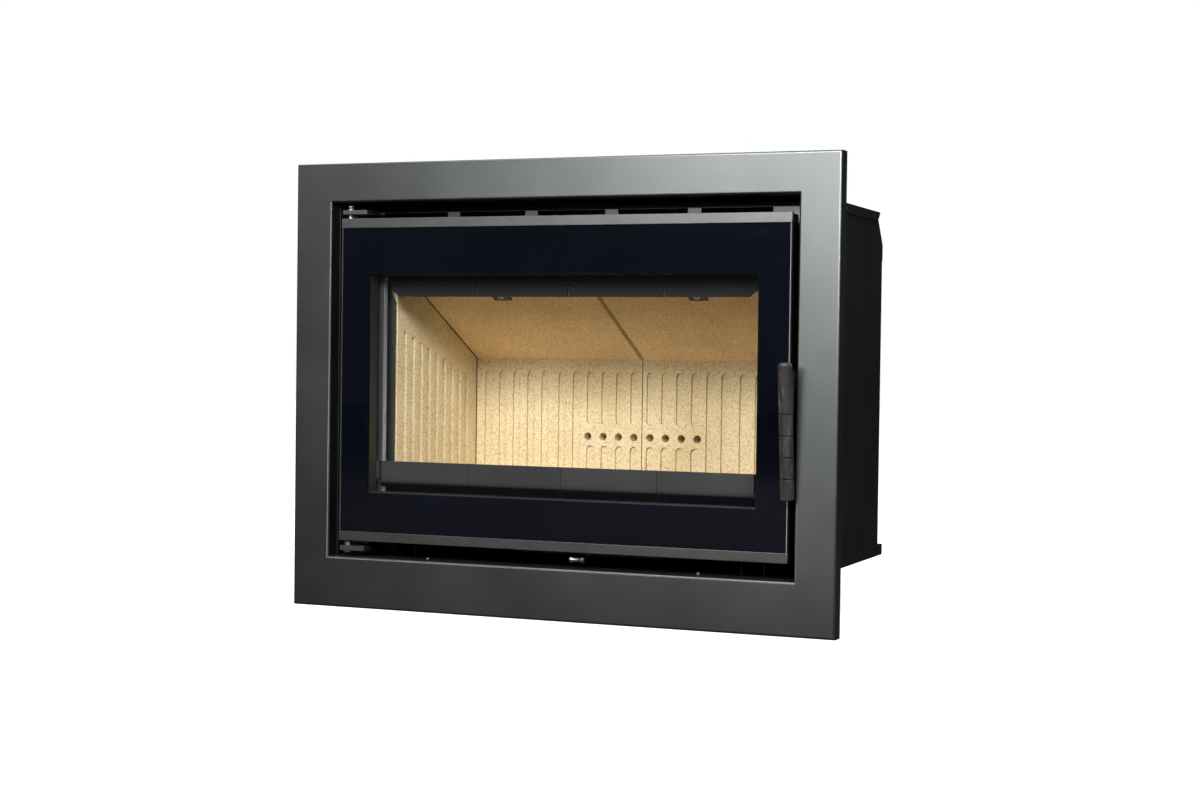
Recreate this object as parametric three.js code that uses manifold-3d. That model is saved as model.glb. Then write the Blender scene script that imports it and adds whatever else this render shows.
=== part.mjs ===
// Inset wood-burning fireplace: a steel convection casing with a folded surround, a firebox lined
// with routed fire board, a glazed door on two pin hinges, a lift-over latch and an air slide.
// Millimetres, +Z up, front towards -Y. The origin is under the middle of the casing's base.
// Inside the "insert" group y = 0 is the front face of the surround, which is easier to measure from.
import * as THREE from "three";
import { mergeVertices } from "three/addons/utils/BufferGeometryUtils.js";
import Module from "manifold-3d";

const wasm = await Module();
wasm.setup();

// ---------------------------------------------------------------- driving dimensions
const GAP = 0.3; // clearance between pieces that touch
const SHEET = 1.5; // casing sheet
const PLATE = 3; // firebox plate
const ORIGIN_DEPTH = 200; // distance from the surround's face back to the origin

const SURROUND = {
  halfWidth: 350,
  bottom: -60,
  top: 489,
  sheet: 2,
  bend: 3,
  outerReturn: 20,
  innerReturn: 35,
};
const OPENING = { halfWidth: 300.5, bottom: 2.7, top: 441 };
const CASING = {
  halfWidth: 300,
  front: 36,
  rim: 20,
  rear: 380.5,
  height: 445.5,
  fold: 14,
  corner: 43,
};
const FIREBOX = { halfWidth: 276, front: 43.3, rear: 332, bottom: 44, top: 408 };
const FRONT_PLATE = { halfWidth: 288, bottom: 40, top: 412, front: 40 };
const MOUTH = { halfWidth: 247, bottom: 73, top: 352, fold: 9 };
const DOOR = { halfWidth: 290.5, bottom: 22, top: 421.5, front: 8.5, glass: 4, trim: 12 };
const WINDOW = { halfWidth: 252, bottom: 84, top: 352 };
const FRAME = { front: 14.8, rear: 33, bar: 25, wall: 3, channel: [11, 22], channelDepth: 7 };
const HINGE = { x: -283.5, y: 19.5, pin: 4 };
const FLUE = { y: 200, bore: 75, wall: 3, top: 500, flange: 92 };
const LINING = { wall: 243, back: 298.5, board: 30, floor: 77, front: 68, rise: 0.5013 };
const GROOVE = { width: 11, depth: 4, top: 234.6, roundSteps: 5 };
const AIR_HOLES = { z: 148, radius: 5.2, first: 11.5, pitch: 22, perBoard: 4 };
const BAFFLE = { joint: 3, springZ: 250.6, front: 130, thick: 30 };
const GUARD = {
  front: 29,
  top: 121.5,
  bendZ: 96,
  slope: 0.95,
  halfWidth: 245.3,
  footHalfWidth: 242,
};
const SLIT = { pitch: 123, half: 0.5 };
const LATCH = { x: 294.4, thick: 4, pivotY: 22, pivotZ: 221, pinY: 47.5, pinZ: 231, pin: 3.5 };
const BAR = {
  radius: 8,
  topY: -25,
  topZ: 250,
  bottomY: -8,
  bottomZ: 96,
  plain: 57,
  rings: 4,
  ringWidth: 2,
  ringDepth: 1.3,
  chamfer: 1.2,
};
const AIR_SLIDE = { x: 31, z: 13.5, knobY: 10, knobLength: 18.4, knobRadius: 3.4 };

// ---------------------------------------------------------------- finishes
const FINISHES = {
  satinSteel: { color: 0x55585a, roughness: 0.42, metalness: 0.6 },
  brushedSteel: { color: 0x8b8c8a, roughness: 0.38, metalness: 0.9 },
  blackPaint: { color: 0x1c1c1a, roughness: 0.75, metalness: 0.2 },
  stovePaint: { color: 0x2b2b2b, roughness: 0.7, metalness: 0.3 },
  castBlack: { color: 0x333332, roughness: 0.6, metalness: 0.4 },
  fireBoard: { color: 0xe0cb9c, roughness: 0.95, metalness: 0 },
  glass: { color: 0x0d0f16, roughness: 0.06, metalness: 0 },
  rope: { color: 0x3a3a38, roughness: 1, metalness: 0 },
  boltSteel: { color: 0x9a9a98, roughness: 0.35, metalness: 0.9 },
};

// ---------------------------------------------------------------- solids and booleans
function solidOf(geometry) {
  const plain = geometry.clone();
  plain.deleteAttribute("normal");
  plain.deleteAttribute("uv");
  const merged = mergeVertices(plain, 1e-4);
  return new wasm.Manifold(
    new wasm.Mesh({
      numProp: 3,
      vertProperties: new Float32Array(merged.attributes.position.array),
      triVerts: new Uint32Array(merged.index.array),
    }),
  );
}

function geometryOf(solid) {
  const mesh = solid.getMesh();
  const geometry = new THREE.BufferGeometry();
  geometry.setAttribute("position", new THREE.BufferAttribute(mesh.vertProperties, 3));
  geometry.setIndex(new THREE.BufferAttribute(mesh.triVerts, 1));
  geometry.computeVertexNormals();
  return geometry;
}

function cut(base, tools) {
  return geometryOf(tools.reduce((solid, tool) => solid.subtract(solidOf(tool)), solidOf(base)));
}

function join(pieces) {
  return geometryOf(pieces.map(solidOf).reduce((solid, piece) => solid.add(piece)));
}

function block([x0, x1], [y0, y1], [z0, z1]) {
  const box = new THREE.BoxGeometry(x1 - x0, y1 - y0, z1 - z0);
  return box.translate((x0 + x1) / 2, (y0 + y1) / 2, (z0 + z1) / 2);
}

// A flat outline, given as [a, b] points or a THREE.Shape, carried from one place to another.
// along "x": the outline is (y, z); along "y": it is (x, z); along "z": it is (x, y).
function prism(outline, along, [from, to], curveSegments = 12) {
  const shape = outline instanceof THREE.Shape
    ? outline
    : new THREE.Shape(outline.map(([a, b]) => new THREE.Vector2(a, b)));
  const body = new THREE.ExtrudeGeometry(shape, {
    depth: to - from,
    bevelEnabled: false,
    curveSegments,
  });
  const placements = {
    x: new THREE.Matrix4().set(0, 0, 1, from, 1, 0, 0, 0, 0, 1, 0, 0, 0, 0, 0, 1),
    y: new THREE.Matrix4().set(1, 0, 0, 0, 0, 0, -1, to, 0, 1, 0, 0, 0, 0, 0, 1),
    z: new THREE.Matrix4().set(1, 0, 0, 0, 0, 1, 0, 0, 0, 0, 1, from, 0, 0, 0, 1),
  };
  return body.applyMatrix4(placements[along]);
}

// A closed (radius, height) outline turned about an axis through the given centre.
function turned(outline, along, centre, sides = 32) {
  const points = outline.map(([r, h]) => new THREE.Vector2(r, h));
  const body = new THREE.LatheGeometry(points, sides);
  if (along === "x") body.rotateZ(-Math.PI / 2);
  if (along === "z") body.rotateX(Math.PI / 2);
  return body.translate(...centre);
}

function rod(radius, along, [from, to], [a, b], sides = 24) {
  const centre = { x: [0, a, b], y: [a, 0, b], z: [a, b, 0] }[along];
  const outline = [
    [0, from],
    [radius, from],
    [radius, to],
    [0, to],
  ];
  return turned(outline, along, centre, sides);
}

// A rectangular ring with mitred corners. Each profile point names the rectangle it belongs to, how
// far outside that rectangle it lies and its depth y. The front of the profile runs outwards.
function ringFrame(rectangles, profile) {
  const vertices = [];
  const faces = [];
  for (const [name, out, y] of profile) {
    const { halfWidth, bottom, top } = rectangles[name];
    const x = halfWidth + out;
    vertices.push(-x, y, bottom - out, x, y, bottom - out, x, y, top + out, -x, y, top + out);
  }
  const count = profile.length;
  for (let ring = 0; ring < count; ring++) {
    for (let corner = 0; corner < 4; corner++) {
      const next = (corner + 1) % 4;
      const a = ring * 4 + corner;
      const b = ring * 4 + next;
      const c = ((ring + 1) % count) * 4 + next;
      const d = ((ring + 1) % count) * 4 + corner;
      faces.push(a, c, b, a, d, c);
    }
  }
  const geometry = new THREE.BufferGeometry();
  geometry.setAttribute("position", new THREE.BufferAttribute(new Float32Array(vertices), 3));
  geometry.setIndex(faces);
  return geometry;
}

// Points of an arc in a ring profile, about (out, y), from one angle to another in degrees.
function arcPoints(name, out, y, radius, fromDeg, toDeg, steps) {
  return Array.from({ length: steps + 1 }, (_, i) => {
    const angle = THREE.MathUtils.degToRad(fromDeg + ((toDeg - fromDeg) * i) / steps);
    return [name, out + radius * Math.cos(angle), y + radius * Math.sin(angle)];
  });
}

// ---------------------------------------------------------------- scene graph
const part = new THREE.Group();
const insert = new THREE.Group();
insert.position.y = -ORIGIN_DEPTH;
part.add(insert);

function piece(name, finish, geometry, parent = insert) {
  const mesh = new THREE.Mesh(geometry, new THREE.MeshStandardMaterial(FINISHES[finish]));
  mesh.name = name;
  parent.add(mesh);
  return mesh;
}

const SIDES = [
  ["left", -1],
  ["right", 1],
];

// Both ends of a range, mirrored to the side asked for and in rising order.
function mirrored(side, [near, far]) {
  return side < 0 ? [-far, -near] : [near, far];
}

// ---------------------------------------------------------------- casing and surround
function surroundSection() {
  const { sheet, bend, outerReturn, innerReturn } = SURROUND;
  const inside = bend - sheet;
  return [
    ["inner", 0, innerReturn],
    ...arcPoints("inner", bend, bend, bend, 180, 270, 5),
    ...arcPoints("outer", -bend, bend, bend, 270, 360, 5),
    ["outer", 0, outerReturn],
    ["outer", -sheet, outerReturn],
    ...arcPoints("outer", -bend, bend, inside, 360, 270, 3),
    ...arcPoints("inner", bend, bend, inside, 270, 180, 3),
    ["inner", sheet, innerReturn],
  ];
}

const SCREW = { x: 176.5, y: 29, radius: 3.6, shank: 1.9 };

function makeSurround() {
  const frame = ringFrame({ outer: SURROUND, inner: OPENING }, surroundSection());
  const holes = SIDES.map(([, side]) =>
    rod(SCREW.shank + GAP, "z", [-5, 5], [side * SCREW.x, SCREW.y], 12),
  );
  piece("surround", "satinSteel", cut(frame, holes));
  for (const [name, side] of SIDES) {
    const outline = [
      [0, -6],
      [SCREW.shank, -6],
      [SCREW.shank, OPENING.bottom + GAP],
      [SCREW.radius, OPENING.bottom + GAP],
      [SCREW.radius, OPENING.bottom + 1.4],
      [SCREW.radius * 0.6, OPENING.bottom + 2.4],
      [0, OPENING.bottom + 2.6],
    ];
    piece(`surround_screw_${name}`, "boltSteel", turned(outline, "z", [side * SCREW.x, SCREW.y, 0], 12));
  }
}

const BASE = { rear: 397 };

function makeCasingBase() {
  const outer = CASING.halfWidth + GAP + SHEET;
  const tray = block([-outer, outer], [CASING.front, BASE.rear], [0, CASING.fold]);
  const inside = block(
    [-outer + SHEET, outer - SHEET],
    [CASING.front - 1, BASE.rear - SHEET],
    [SHEET, CASING.fold + 1],
  );
  piece("casing_base", "blackPaint", cut(tray, [inside]));
}

const LID = { rear: 361, lip: 433 };

function makeCasingLid() {
  const outer = CASING.halfWidth + GAP + SHEET;
  const { rear, lip } = LID;
  const outline = [
    [CASING.front, lip],
    [rear - 11, lip],
    [rear, CASING.height - SHEET],
    [rear, CASING.height],
    [CASING.front, CASING.height],
  ];
  const cover = prism(outline, "x", [-outer, outer]);
  const inside = block(
    [-outer + SHEET, outer - SHEET],
    [CASING.front - 1, rear + 1],
    [lip - 1, CASING.height - SHEET],
  );
  const flueHole = rod(FLUE.bore + FLUE.wall + 2, "z", [440, 450], [0, FLUE.y], 36);
  piece("casing_lid", "blackPaint", cut(cover, [inside, flueHole]));
}

const KNOCKOUT = { y: 190, z: 90, radius: 70, slit: 1.2, bridge: 5 };

// The slit of a round knock-out: four arcs, so four narrow bridges hold the disc in the sheet.
function knockoutSlits(range) {
  const { y, z, radius, slit, bridge } = KNOCKOUT;
  const half = bridge / 2 / radius;
  return [0, 1, 2, 3].map((quarter) => {
    const start = (quarter * Math.PI) / 2 + half + Math.PI / 4;
    const end = start + Math.PI / 2 - 2 * half;
    const arc = new THREE.Shape();
    arc.absarc(y, z, radius, start, end, false);
    arc.absarc(y, z, radius - slit, end, start, true);
    arc.closePath();
    return prism(arc, "x", range, 9);
  });
}

function makeCasingWalls() {
  const low = SHEET + GAP;
  const high = CASING.height - SHEET - GAP;
  const rimLow = OPENING.bottom + 1.3;
  const rimHigh = OPENING.top - 1;
  const edge = CASING.front + GAP;
  const outline = [
    [CASING.rim, rimLow],
    [edge, rimLow],
    [edge, low],
    [CASING.rear, low],
    [CASING.rear, high - CASING.corner],
    [CASING.rear - CASING.corner, high],
    [edge, high],
    [edge, rimHigh],
    [CASING.rim, rimHigh],
  ];
  for (const [name, side] of SIDES) {
    const range = mirrored(side, [CASING.halfWidth - SHEET, CASING.halfWidth]);
    const wall = prism(outline, "x", range);
    piece(
      `casing_side_${name}`,
      "blackPaint",
      cut(wall, knockoutSlits([range[0] - 1, range[1] + 1])),
    );
  }
  const half = CASING.halfWidth - SHEET - GAP;
  const backTop = high - CASING.corner;
  const back = block([-half, half], [CASING.rear - SHEET, CASING.rear], [low, backTop]);
  piece("casing_back", "blackPaint", back);
}

// Folded rail along the top rear corner of the casing, where the side sheets are cut at a slant.
// It slants down from the lid's rear edge and then drops, and keeps the casing off the masonry.
// Its ends are closed, and below it stands open behind the back sheet.
function makeRearRail() {
  const top = CASING.height - SHEET - GAP;
  const y0 = CASING.rear + GAP;
  const y1 = CASING.rear + 10.5;
  const half = CASING.halfWidth - 2;
  const outer = [
    [LID.rear - 19, top],
    [LID.rear + GAP, top],
    [y1, 405],
    [y1, 384.5],
    [y0, 384.5],
    [y0, 402.3],
  ];
  const inner = [
    [330, top + 1.3],
    [LID.rear - 2.6, top + 1.3],
    [y1 - SHEET, 404.5],
    [y1 - SHEET, 380],
    [330, 380],
  ];
  const hollow = prism(inner, "x", [-half + SHEET, half - SHEET]);
  piece("rear_spacer_rail", "blackPaint", cut(prism(outer, "x", [-half, half]), [hollow]));
}

const GRILLE = { y: 52, bottom: 410, slotTop: 430.4, pitch: 105, tab: 17, slots: 5 };

// Slotted plate above the door: a top strip with tabs hanging from it, the slots between them open
// downwards over the firebox's front edge.
function makeAirGrille() {
  const half = CASING.halfWidth - SHEET - 1;
  const plate = block([-half, half], [GRILLE.y, GRILLE.y + SHEET], [GRILLE.bottom, 443.5]);
  const slotHalf = (GRILLE.pitch - GRILLE.tab) / 2;
  const slots = Array.from({ length: GRILLE.slots }, (_, i) => {
    const x = (i - (GRILLE.slots - 1) / 2) * GRILLE.pitch;
    return block([x - slotHalf, x + slotHalf], [GRILLE.y - 1, GRILLE.y + 3], [400, GRILLE.slotTop]);
  });
  piece("air_grille", "satinSteel", cut(plate, slots));
}

function makeSupportRails() {
  const [x0, x1] = [215, 245];
  const [z0, z1] = [SHEET + GAP, FIREBOX.bottom - GAP];
  const section = [
    [x0, z0],
    [x0, z1],
    [x1, z1],
    [x1, z0],
    [x1 - 2, z0],
    [x1 - 2, z1 - 2],
    [x0 + 2, z1 - 2],
    [x0 + 2, z0],
  ];
  for (const [name, side] of SIDES) {
    const outline = section.map(([x, z]) => [side * x, z]);
    piece(`support_rail_${name}`, "blackPaint", prism(outline, "y", [70, 325]));
  }
}

// ---------------------------------------------------------------- firebox
const AIR_DUCT = { halfWidth: 120, front: 46, rear: 350, bottom: 18, wall: 1.5, rise: 172 };

function makeFireboxShell() {
  const { halfWidth, front, rear, bottom, top } = FIREBOX;
  const shell = block([-halfWidth, halfWidth], [front, rear], [bottom, top]);
  const room = block(
    [-halfWidth + PLATE, halfWidth - PLATE],
    [front - 1, rear - PLATE],
    [bottom + PLATE, top - PLATE],
  );
  const flueHole = rod(FLUE.bore, "z", [top - PLATE - 1, top + 1], [0, FLUE.y], 36);
  const rearAir = block([-90, 90], [rear - PLATE - 1, rear + 1], [AIR_HOLES.z - 10, AIR_HOLES.z + 10]);
  const frontAir = block([-100, 100], [50, 60], [bottom - 1, bottom + PLATE + 1]);
  piece("firebox_shell", "stovePaint", cut(shell, [room, flueHole, rearAir, frontAir]));
}

// Flat plate that the door closes on, with the edge of its mouth folded back into the firebox.
function makeFireboxFront() {
  const section = [
    ["mouth", 0, FRONT_PLATE.front + MOUTH.fold],
    ["mouth", 0, FRONT_PLATE.front + 1],
    ["mouth", 1, FRONT_PLATE.front],
    ["plate", 0, FRONT_PLATE.front],
    ["plate", 0, FRONT_PLATE.front + PLATE],
    ["mouth", PLATE, FRONT_PLATE.front + PLATE],
    ["mouth", PLATE, FRONT_PLATE.front + MOUTH.fold],
  ];
  piece("firebox_front", "stovePaint", ringFrame({ mouth: MOUTH, plate: FRONT_PLATE }, section));
}

function makeFlueCollar() {
  const { bore, wall, top, flange, y } = FLUE;
  const base = FIREBOX.top + GAP;
  const outline = [
    [bore, base],
    [flange, base],
    [flange, base + PLATE],
    [bore + wall, base + PLATE],
    [bore + wall, top],
    [bore, top],
    [bore, base],
  ];
  piece("flue_collar", "castBlack", turned(outline, "z", [0, y, 0], 40));
}

function makeAirDucts() {
  const { halfWidth, front, rear, bottom, wall, rise } = AIR_DUCT;
  const top = FIREBOX.bottom - GAP;
  const duct = block([-halfWidth, halfWidth], [front, rear], [bottom, top]);
  const room = block(
    [-halfWidth + wall, halfWidth - wall],
    [front + wall, rear - wall],
    [bottom + wall, top - wall],
  );
  const inlet = block([-34, 34], [front - 1, front + wall + 1], [24, 38]);
  const toFront = block([-98, 98], [50.5, 59.5], [top - wall - 1, top + 1]);
  const toRear = block(
    [-halfWidth + wall, halfWidth - wall],
    [FIREBOX.rear + GAP + wall, rear - wall],
    [top - wall - 1, top + 1],
  );
  piece("air_duct_floor", "blackPaint", cut(duct, [room, inlet, toFront, toRear]));

  const riser = block([-halfWidth, halfWidth], [FIREBOX.rear + GAP, rear], [FIREBOX.bottom, rise]);
  const hollow = block(
    [-halfWidth + wall, halfWidth - wall],
    [FIREBOX.rear - 1, rear - wall],
    [FIREBOX.bottom - 1, rise - wall],
  );
  piece("air_duct_riser", "blackPaint", cut(riser, [hollow]));
}

// ---------------------------------------------------------------- fire board lining
// A routed groove seen from its face: straight sides and round ends, or one round end where it
// runs out over the board's lower edge.
function grooveOutline(centre, low, high, openBelow) {
  const radius = GROOVE.width / 2;
  const steps = GROOVE.roundSteps;
  const points = [];
  for (let i = 0; i <= steps; i++) {
    const angle = (Math.PI * i) / steps;
    points.push([centre + radius * Math.cos(angle), high - radius + radius * Math.sin(angle)]);
  }
  if (openBelow) {
    points.push([centre - radius, low], [centre + radius, low]);
    return points;
  }
  for (let i = 0; i <= steps; i++) {
    const angle = Math.PI + (Math.PI * i) / steps;
    points.push([centre + radius * Math.cos(angle), low + radius + radius * Math.sin(angle)]);
  }
  return points;
}

const BACK_GROOVES = [
  ...Array.from({ length: 6 }, (_, i) => 11.5 + 20.8 * i),
  ...Array.from({ length: 5 }, (_, i) => 140.5 + 21 * i),
];
const GROOVE_BREAK = { low: 136, high: 164 }; // plain band round the air holes

// One half of the back wall: grooves, broken round the air holes near the middle, and the holes.
function backBoard(side) {
  const outer = FIREBOX.halfWidth - PLATE - 0.5;
  const y = [LINING.back, LINING.back + LINING.board - 0.3];
  const board = block(mirrored(side, [0.6, outer]), y, [LINING.floor + GAP, 300]);
  const depth = [LINING.back - 1, LINING.back + GROOVE.depth];
  const tools = [];
  BACK_GROOVES.forEach((offset, i) => {
    const x = side * offset;
    if (i < AIR_HOLES.perBoard) {
      const upper = grooveOutline(x, GROOVE_BREAK.high, GROOVE.top, false);
      const lower = grooveOutline(x, LINING.floor - 2, GROOVE_BREAK.low, true);
      tools.push(prism(upper, "y", depth), prism(lower, "y", depth));
    } else {
      tools.push(prism(grooveOutline(x, LINING.floor - 2, GROOVE.top, true), "y", depth));
    }
  });
  for (let i = 0; i < AIR_HOLES.perBoard; i++) {
    const x = side * (AIR_HOLES.first + AIR_HOLES.pitch * i);
    tools.push(rod(AIR_HOLES.radius, "y", [y[0] - 1, y[1] + 1], [x, AIR_HOLES.z], 16));
  }
  return cut(board, tools);
}

// Underside of the sloping baffle at a depth y.
function baffleUnderside(y) {
  return BAFFLE.springZ + LINING.rise * (LINING.back - 0.4 - y);
}

const SIDE_GROOVES = { first: 93.3, pitch: 22.25, count: 9, topAtFirst: 283.5, fall: 0.3 };

// A side wall: its top follows the baffle that rests on it and its groove tops fall to the rear.
function sideBoard(side) {
  const inner = LINING.wall;
  const outer = FIREBOX.halfWidth - PLATE - 0.5;
  const shelf = 100;
  const rear = LINING.back - GAP;
  const low = LINING.floor + GAP;
  const outline = [
    [LINING.front, low],
    [rear, low],
    [rear, baffleUnderside(rear) - GAP],
    [shelf, baffleUnderside(shelf) - GAP],
    [LINING.front, baffleUnderside(shelf) - GAP],
  ];
  const board = prism(outline, "x", mirrored(side, [inner, outer]));
  const depth = mirrored(side, [inner - 1, inner + GROOVE.depth]);
  const grooves = Array.from({ length: SIDE_GROOVES.count }, (_, i) => {
    const y = SIDE_GROOVES.first + SIDE_GROOVES.pitch * i - GROOVE.width / 2;
    const top = SIDE_GROOVES.topAtFirst - SIDE_GROOVES.fall * SIDE_GROOVES.pitch * i;
    return prism(grooveOutline(y, low - 2, top, true), "x", depth);
  });
  return cut(board, grooves);
}

function makeLining() {
  const outer = FIREBOX.halfWidth - PLATE - 0.5;
  const slope = Math.atan(LINING.rise);
  for (const [name, side] of SIDES) {
    const across = mirrored(side, [0.6, outer]);
    const floor = block(across, [66, 328.2], [FIREBOX.bottom + PLATE + GAP, LINING.floor]);
    piece(`floor_board_${name}`, "fireBoard", floor);
    piece(`back_board_${name}`, "fireBoard", backBoard(side));
    piece(`side_board_${name}`, "fireBoard", sideBoard(side));
    const rear = LINING.back - GAP;
    const front = BAFFLE.front;
    const rise = BAFFLE.thick * Math.cos(slope);
    const lean = BAFFLE.thick * Math.sin(slope);
    const outline = [
      [rear, baffleUnderside(rear)],
      [rear, baffleUnderside(rear) + BAFFLE.thick / Math.cos(slope)],
      [front + lean, baffleUnderside(front) + rise],
      [front, baffleUnderside(front)],
    ];
    const board = prism(outline, "x", mirrored(side, [BAFFLE.joint, outer]));
    piece(`baffle_board_${name}`, "fireBoard", board);
  }
}

// Cross bar and two clips that hold the baffle's raised front edge. The group lies along the
// slope: in it y runs down the baffle from its lower front edge and z stands square to it.
function makeBaffleHolders() {
  const slope = new THREE.Group();
  slope.position.set(0, BAFFLE.front, baffleUnderside(BAFFLE.front));
  slope.rotation.x = -Math.atan(LINING.rise);
  insert.add(slope);
  const half = FIREBOX.halfWidth - PLATE - 1;
  piece("baffle_bar", "stovePaint", block([-half, half], [-8.2, -3.9], [6, 30]), slope);
  for (const [name, side] of SIDES) {
    const hook = [
      [-3.5, -3.5],
      [17, -3.5],
      [17, -0.5],
      [-0.5, -0.5],
      [-0.5, 27],
      [-3.5, 27],
    ];
    const clip = prism(hook, "x", [side * 132 - 12, side * 132 + 12]);
    const hole = rod(2.6, "z", [-5, 1], [side * 132, 8], 12);
    piece(`baffle_clip_${name}`, "castBlack", cut(clip, [hole]), slope);
    const screw = [
      [0, -6],
      [2.6, -5.6],
      [4, -3.8],
      [2.2, -3.8],
      [2.2, -0.9],
      [0, -0.9],
    ];
    piece(`baffle_screw_${name}`, "boltSteel", turned(screw, "z", [side * 132, 8, 0], 12), slope);
  }
}

// Flat strips that cover the front edges of the side boards, each with one notch near its top.
function makeBoardRetainers() {
  const inner = 243.5;
  const outer = FIREBOX.halfWidth - PLATE - 0.4;
  const outline = [
    [inner, FIREBOX.bottom + PLATE + GAP],
    [outer, FIREBOX.bottom + PLATE + GAP],
    [outer, 352],
    [inner, 352],
    [inner, 337],
    [252, 337],
    [inner, 319],
  ];
  for (const [name, side] of SIDES) {
    const flat = outline.map(([x, z]) => [side * x, z]);
    piece(`board_retainer_${name}`, "stovePaint", prism(flat, "y", [62, 65]));
  }
}

// Folded strip that keeps logs off the glass: upright in front, then sloping back to a foot on the
// floor boards. Saw slits with round ends let it expand, and its ends are folded forwards.
function makeLogGuard() {
  const { front, top, bendZ, halfWidth, footHalfWidth } = GUARD;
  const foot = LINING.floor + 0.4;
  const outline = [
    [front, top],
    [front, bendZ],
    [front + 0.8, bendZ - 2],
    [front + 24, foot],
    [80, foot],
    [80, foot + PLATE],
    [front + 25, foot + PLATE],
    [front + PLATE + 0.4, bendZ + 0.6],
    [front + PLATE, bendZ + 2],
    [front + PLATE, top],
  ];
  const strip = prism(outline, "x", [-halfWidth, halfWidth]);
  const ends = SIDES.map(([, side]) =>
    block(mirrored(side, [halfWidth - PLATE, halfWidth]), [front - 8, front + 1], [100, top]),
  );
  const corners = SIDES.map(([, side]) =>
    block(mirrored(side, [footHalfWidth, halfWidth + 1]), [front + 7, 90], [70, bendZ + 4]),
  );
  const slits = [-1, 0, 1].flatMap((i) => [
    block([i * SLIT.pitch - SLIT.half, i * SLIT.pitch + SLIT.half], [20, 50], [89, top + 1]),
    rod(1.5, "y", [-5, 5], [0, 0], 12)
      .rotateX(GUARD.slope)
      .translate(i * SLIT.pitch, front + 10, 89),
  ]);
  piece("log_guard", "castBlack", cut(join([strip, ...ends]), [...corners, ...slits]));
}

// Folded strip behind the top of the glass: it turns the wash air down over the pane. The slits
// open at its lower edge and its lower corners are cut off.
function makeAirDeflector() {
  const y = 45;
  const low = 326;
  const wide = FIREBOX.halfWidth - PLATE - 1;
  const narrow = 241;
  const outline = [
    [y, low],
    [y + 2.5, low],
    [y + 2.5, 343],
    [71, 378],
    [68.6, 379.5],
    [y, 344.6],
  ];
  const strip = prism(outline, "x", [-wide, wide]);
  const corners = SIDES.map(([, side]) => {
    const chamfer = [
      [side * (narrow - 13), low - 1],
      [side * (wide + 1), low - 1],
      [side * (wide + 1), 362],
      [side * narrow, 362],
      [side * narrow, low + 11],
    ];
    return prism(chamfer, "y", [y - 1, 80]);
  });
  const slits = [-1, 0, 1].map((i) =>
    block([i * SLIT.pitch - 0.7, i * SLIT.pitch + 0.7], [y - 1, y + 4], [low - 1, low + 19]),
  );
  piece("air_deflector", "castBlack", cut(strip, [...corners, ...slits]));
}

// ---------------------------------------------------------------- door
function makeDoorFrame() {
  const { front, rear, bar, wall, channel, channelDepth } = FRAME;
  const outer = { halfWidth: DOOR.halfWidth, bottom: DOOR.bottom + 1.7, top: DOOR.top - 1.7 };
  const section = [
    ["window", 0, rear],
    ["window", 0, front],
    ["outer", 0, front],
    ["outer", 0, rear],
    ["outer", -wall, rear],
    ["outer", -wall, front + wall],
    ["window", bar, front + wall],
    ["window", bar, rear],
    ["window", channel[1], rear],
    ["window", channel[1], rear - channelDepth],
    ["window", channel[0], rear - channelDepth],
    ["window", channel[0], rear],
  ];
  const frame = ringFrame({ window: WINDOW, outer }, section);
  const lips = SIDES.map(([, side]) =>
    block(
      mirrored(side, [DOOR.halfWidth - 1, DOOR.halfWidth]),
      [DOOR.front + 0.3, front + 1],
      [DOOR.bottom + DOOR.trim + GAP, DOOR.top - DOOR.trim - GAP],
    ),
  );
  const left = -DOOR.halfWidth;
  const blocks = [
    block([left, left + 22], [front, rear], [outer.bottom, outer.bottom + 26]),
    block([left, left + 22], [front, rear], [outer.top - 26, outer.top]),
  ];
  const pinHole = HINGE.pin + GAP;
  const holes = [
    rod(pinHole, "z", [outer.bottom - 1, outer.bottom + 20], [HINGE.x, HINGE.y], 24),
    rod(pinHole, "z", [outer.top - 20, outer.top + 1], [HINGE.x, HINGE.y], 24),
  ];
  piece("door_frame", "stovePaint", cut(join([frame, ...lips, ...blocks]), holes));
}

function makeGlazing() {
  const half = DOOR.halfWidth - 1.3;
  const low = DOOR.bottom + DOOR.trim + GAP;
  const high = DOOR.top - DOOR.trim - GAP;
  const back = DOOR.front + DOOR.glass;
  piece("door_glass", "glass", block([-half, half], [DOOR.front, back], [low, high]));
  const tape = [
    ["window", 2, back + 0.3],
    ["window", 9, back + 0.3],
    ["window", 9, FRAME.front - 0.3],
    ["window", 2, FRAME.front - 0.3],
  ];
  piece("glass_seal", "rope", ringFrame({ window: WINDOW }, tape));
  const centre = (FRAME.channel[0] + FRAME.channel[1]) / 2;
  const rope = arcPoints("window", centre, FRONT_PLATE.front - GAP - 6.6, 6.6, 0, 360, 12).slice(1);
  const pressed = rope.map(([name, out, y]) => [
    name,
    centre + THREE.MathUtils.clamp((out - centre) * 0.9, -5.2, 5.2),
    THREE.MathUtils.clamp(y, FRAME.rear - FRAME.channelDepth + GAP, FRONT_PLATE.front - GAP),
  ]);
  piece("door_seal", "rope", ringFrame({ window: WINDOW }, pressed));
}

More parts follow.
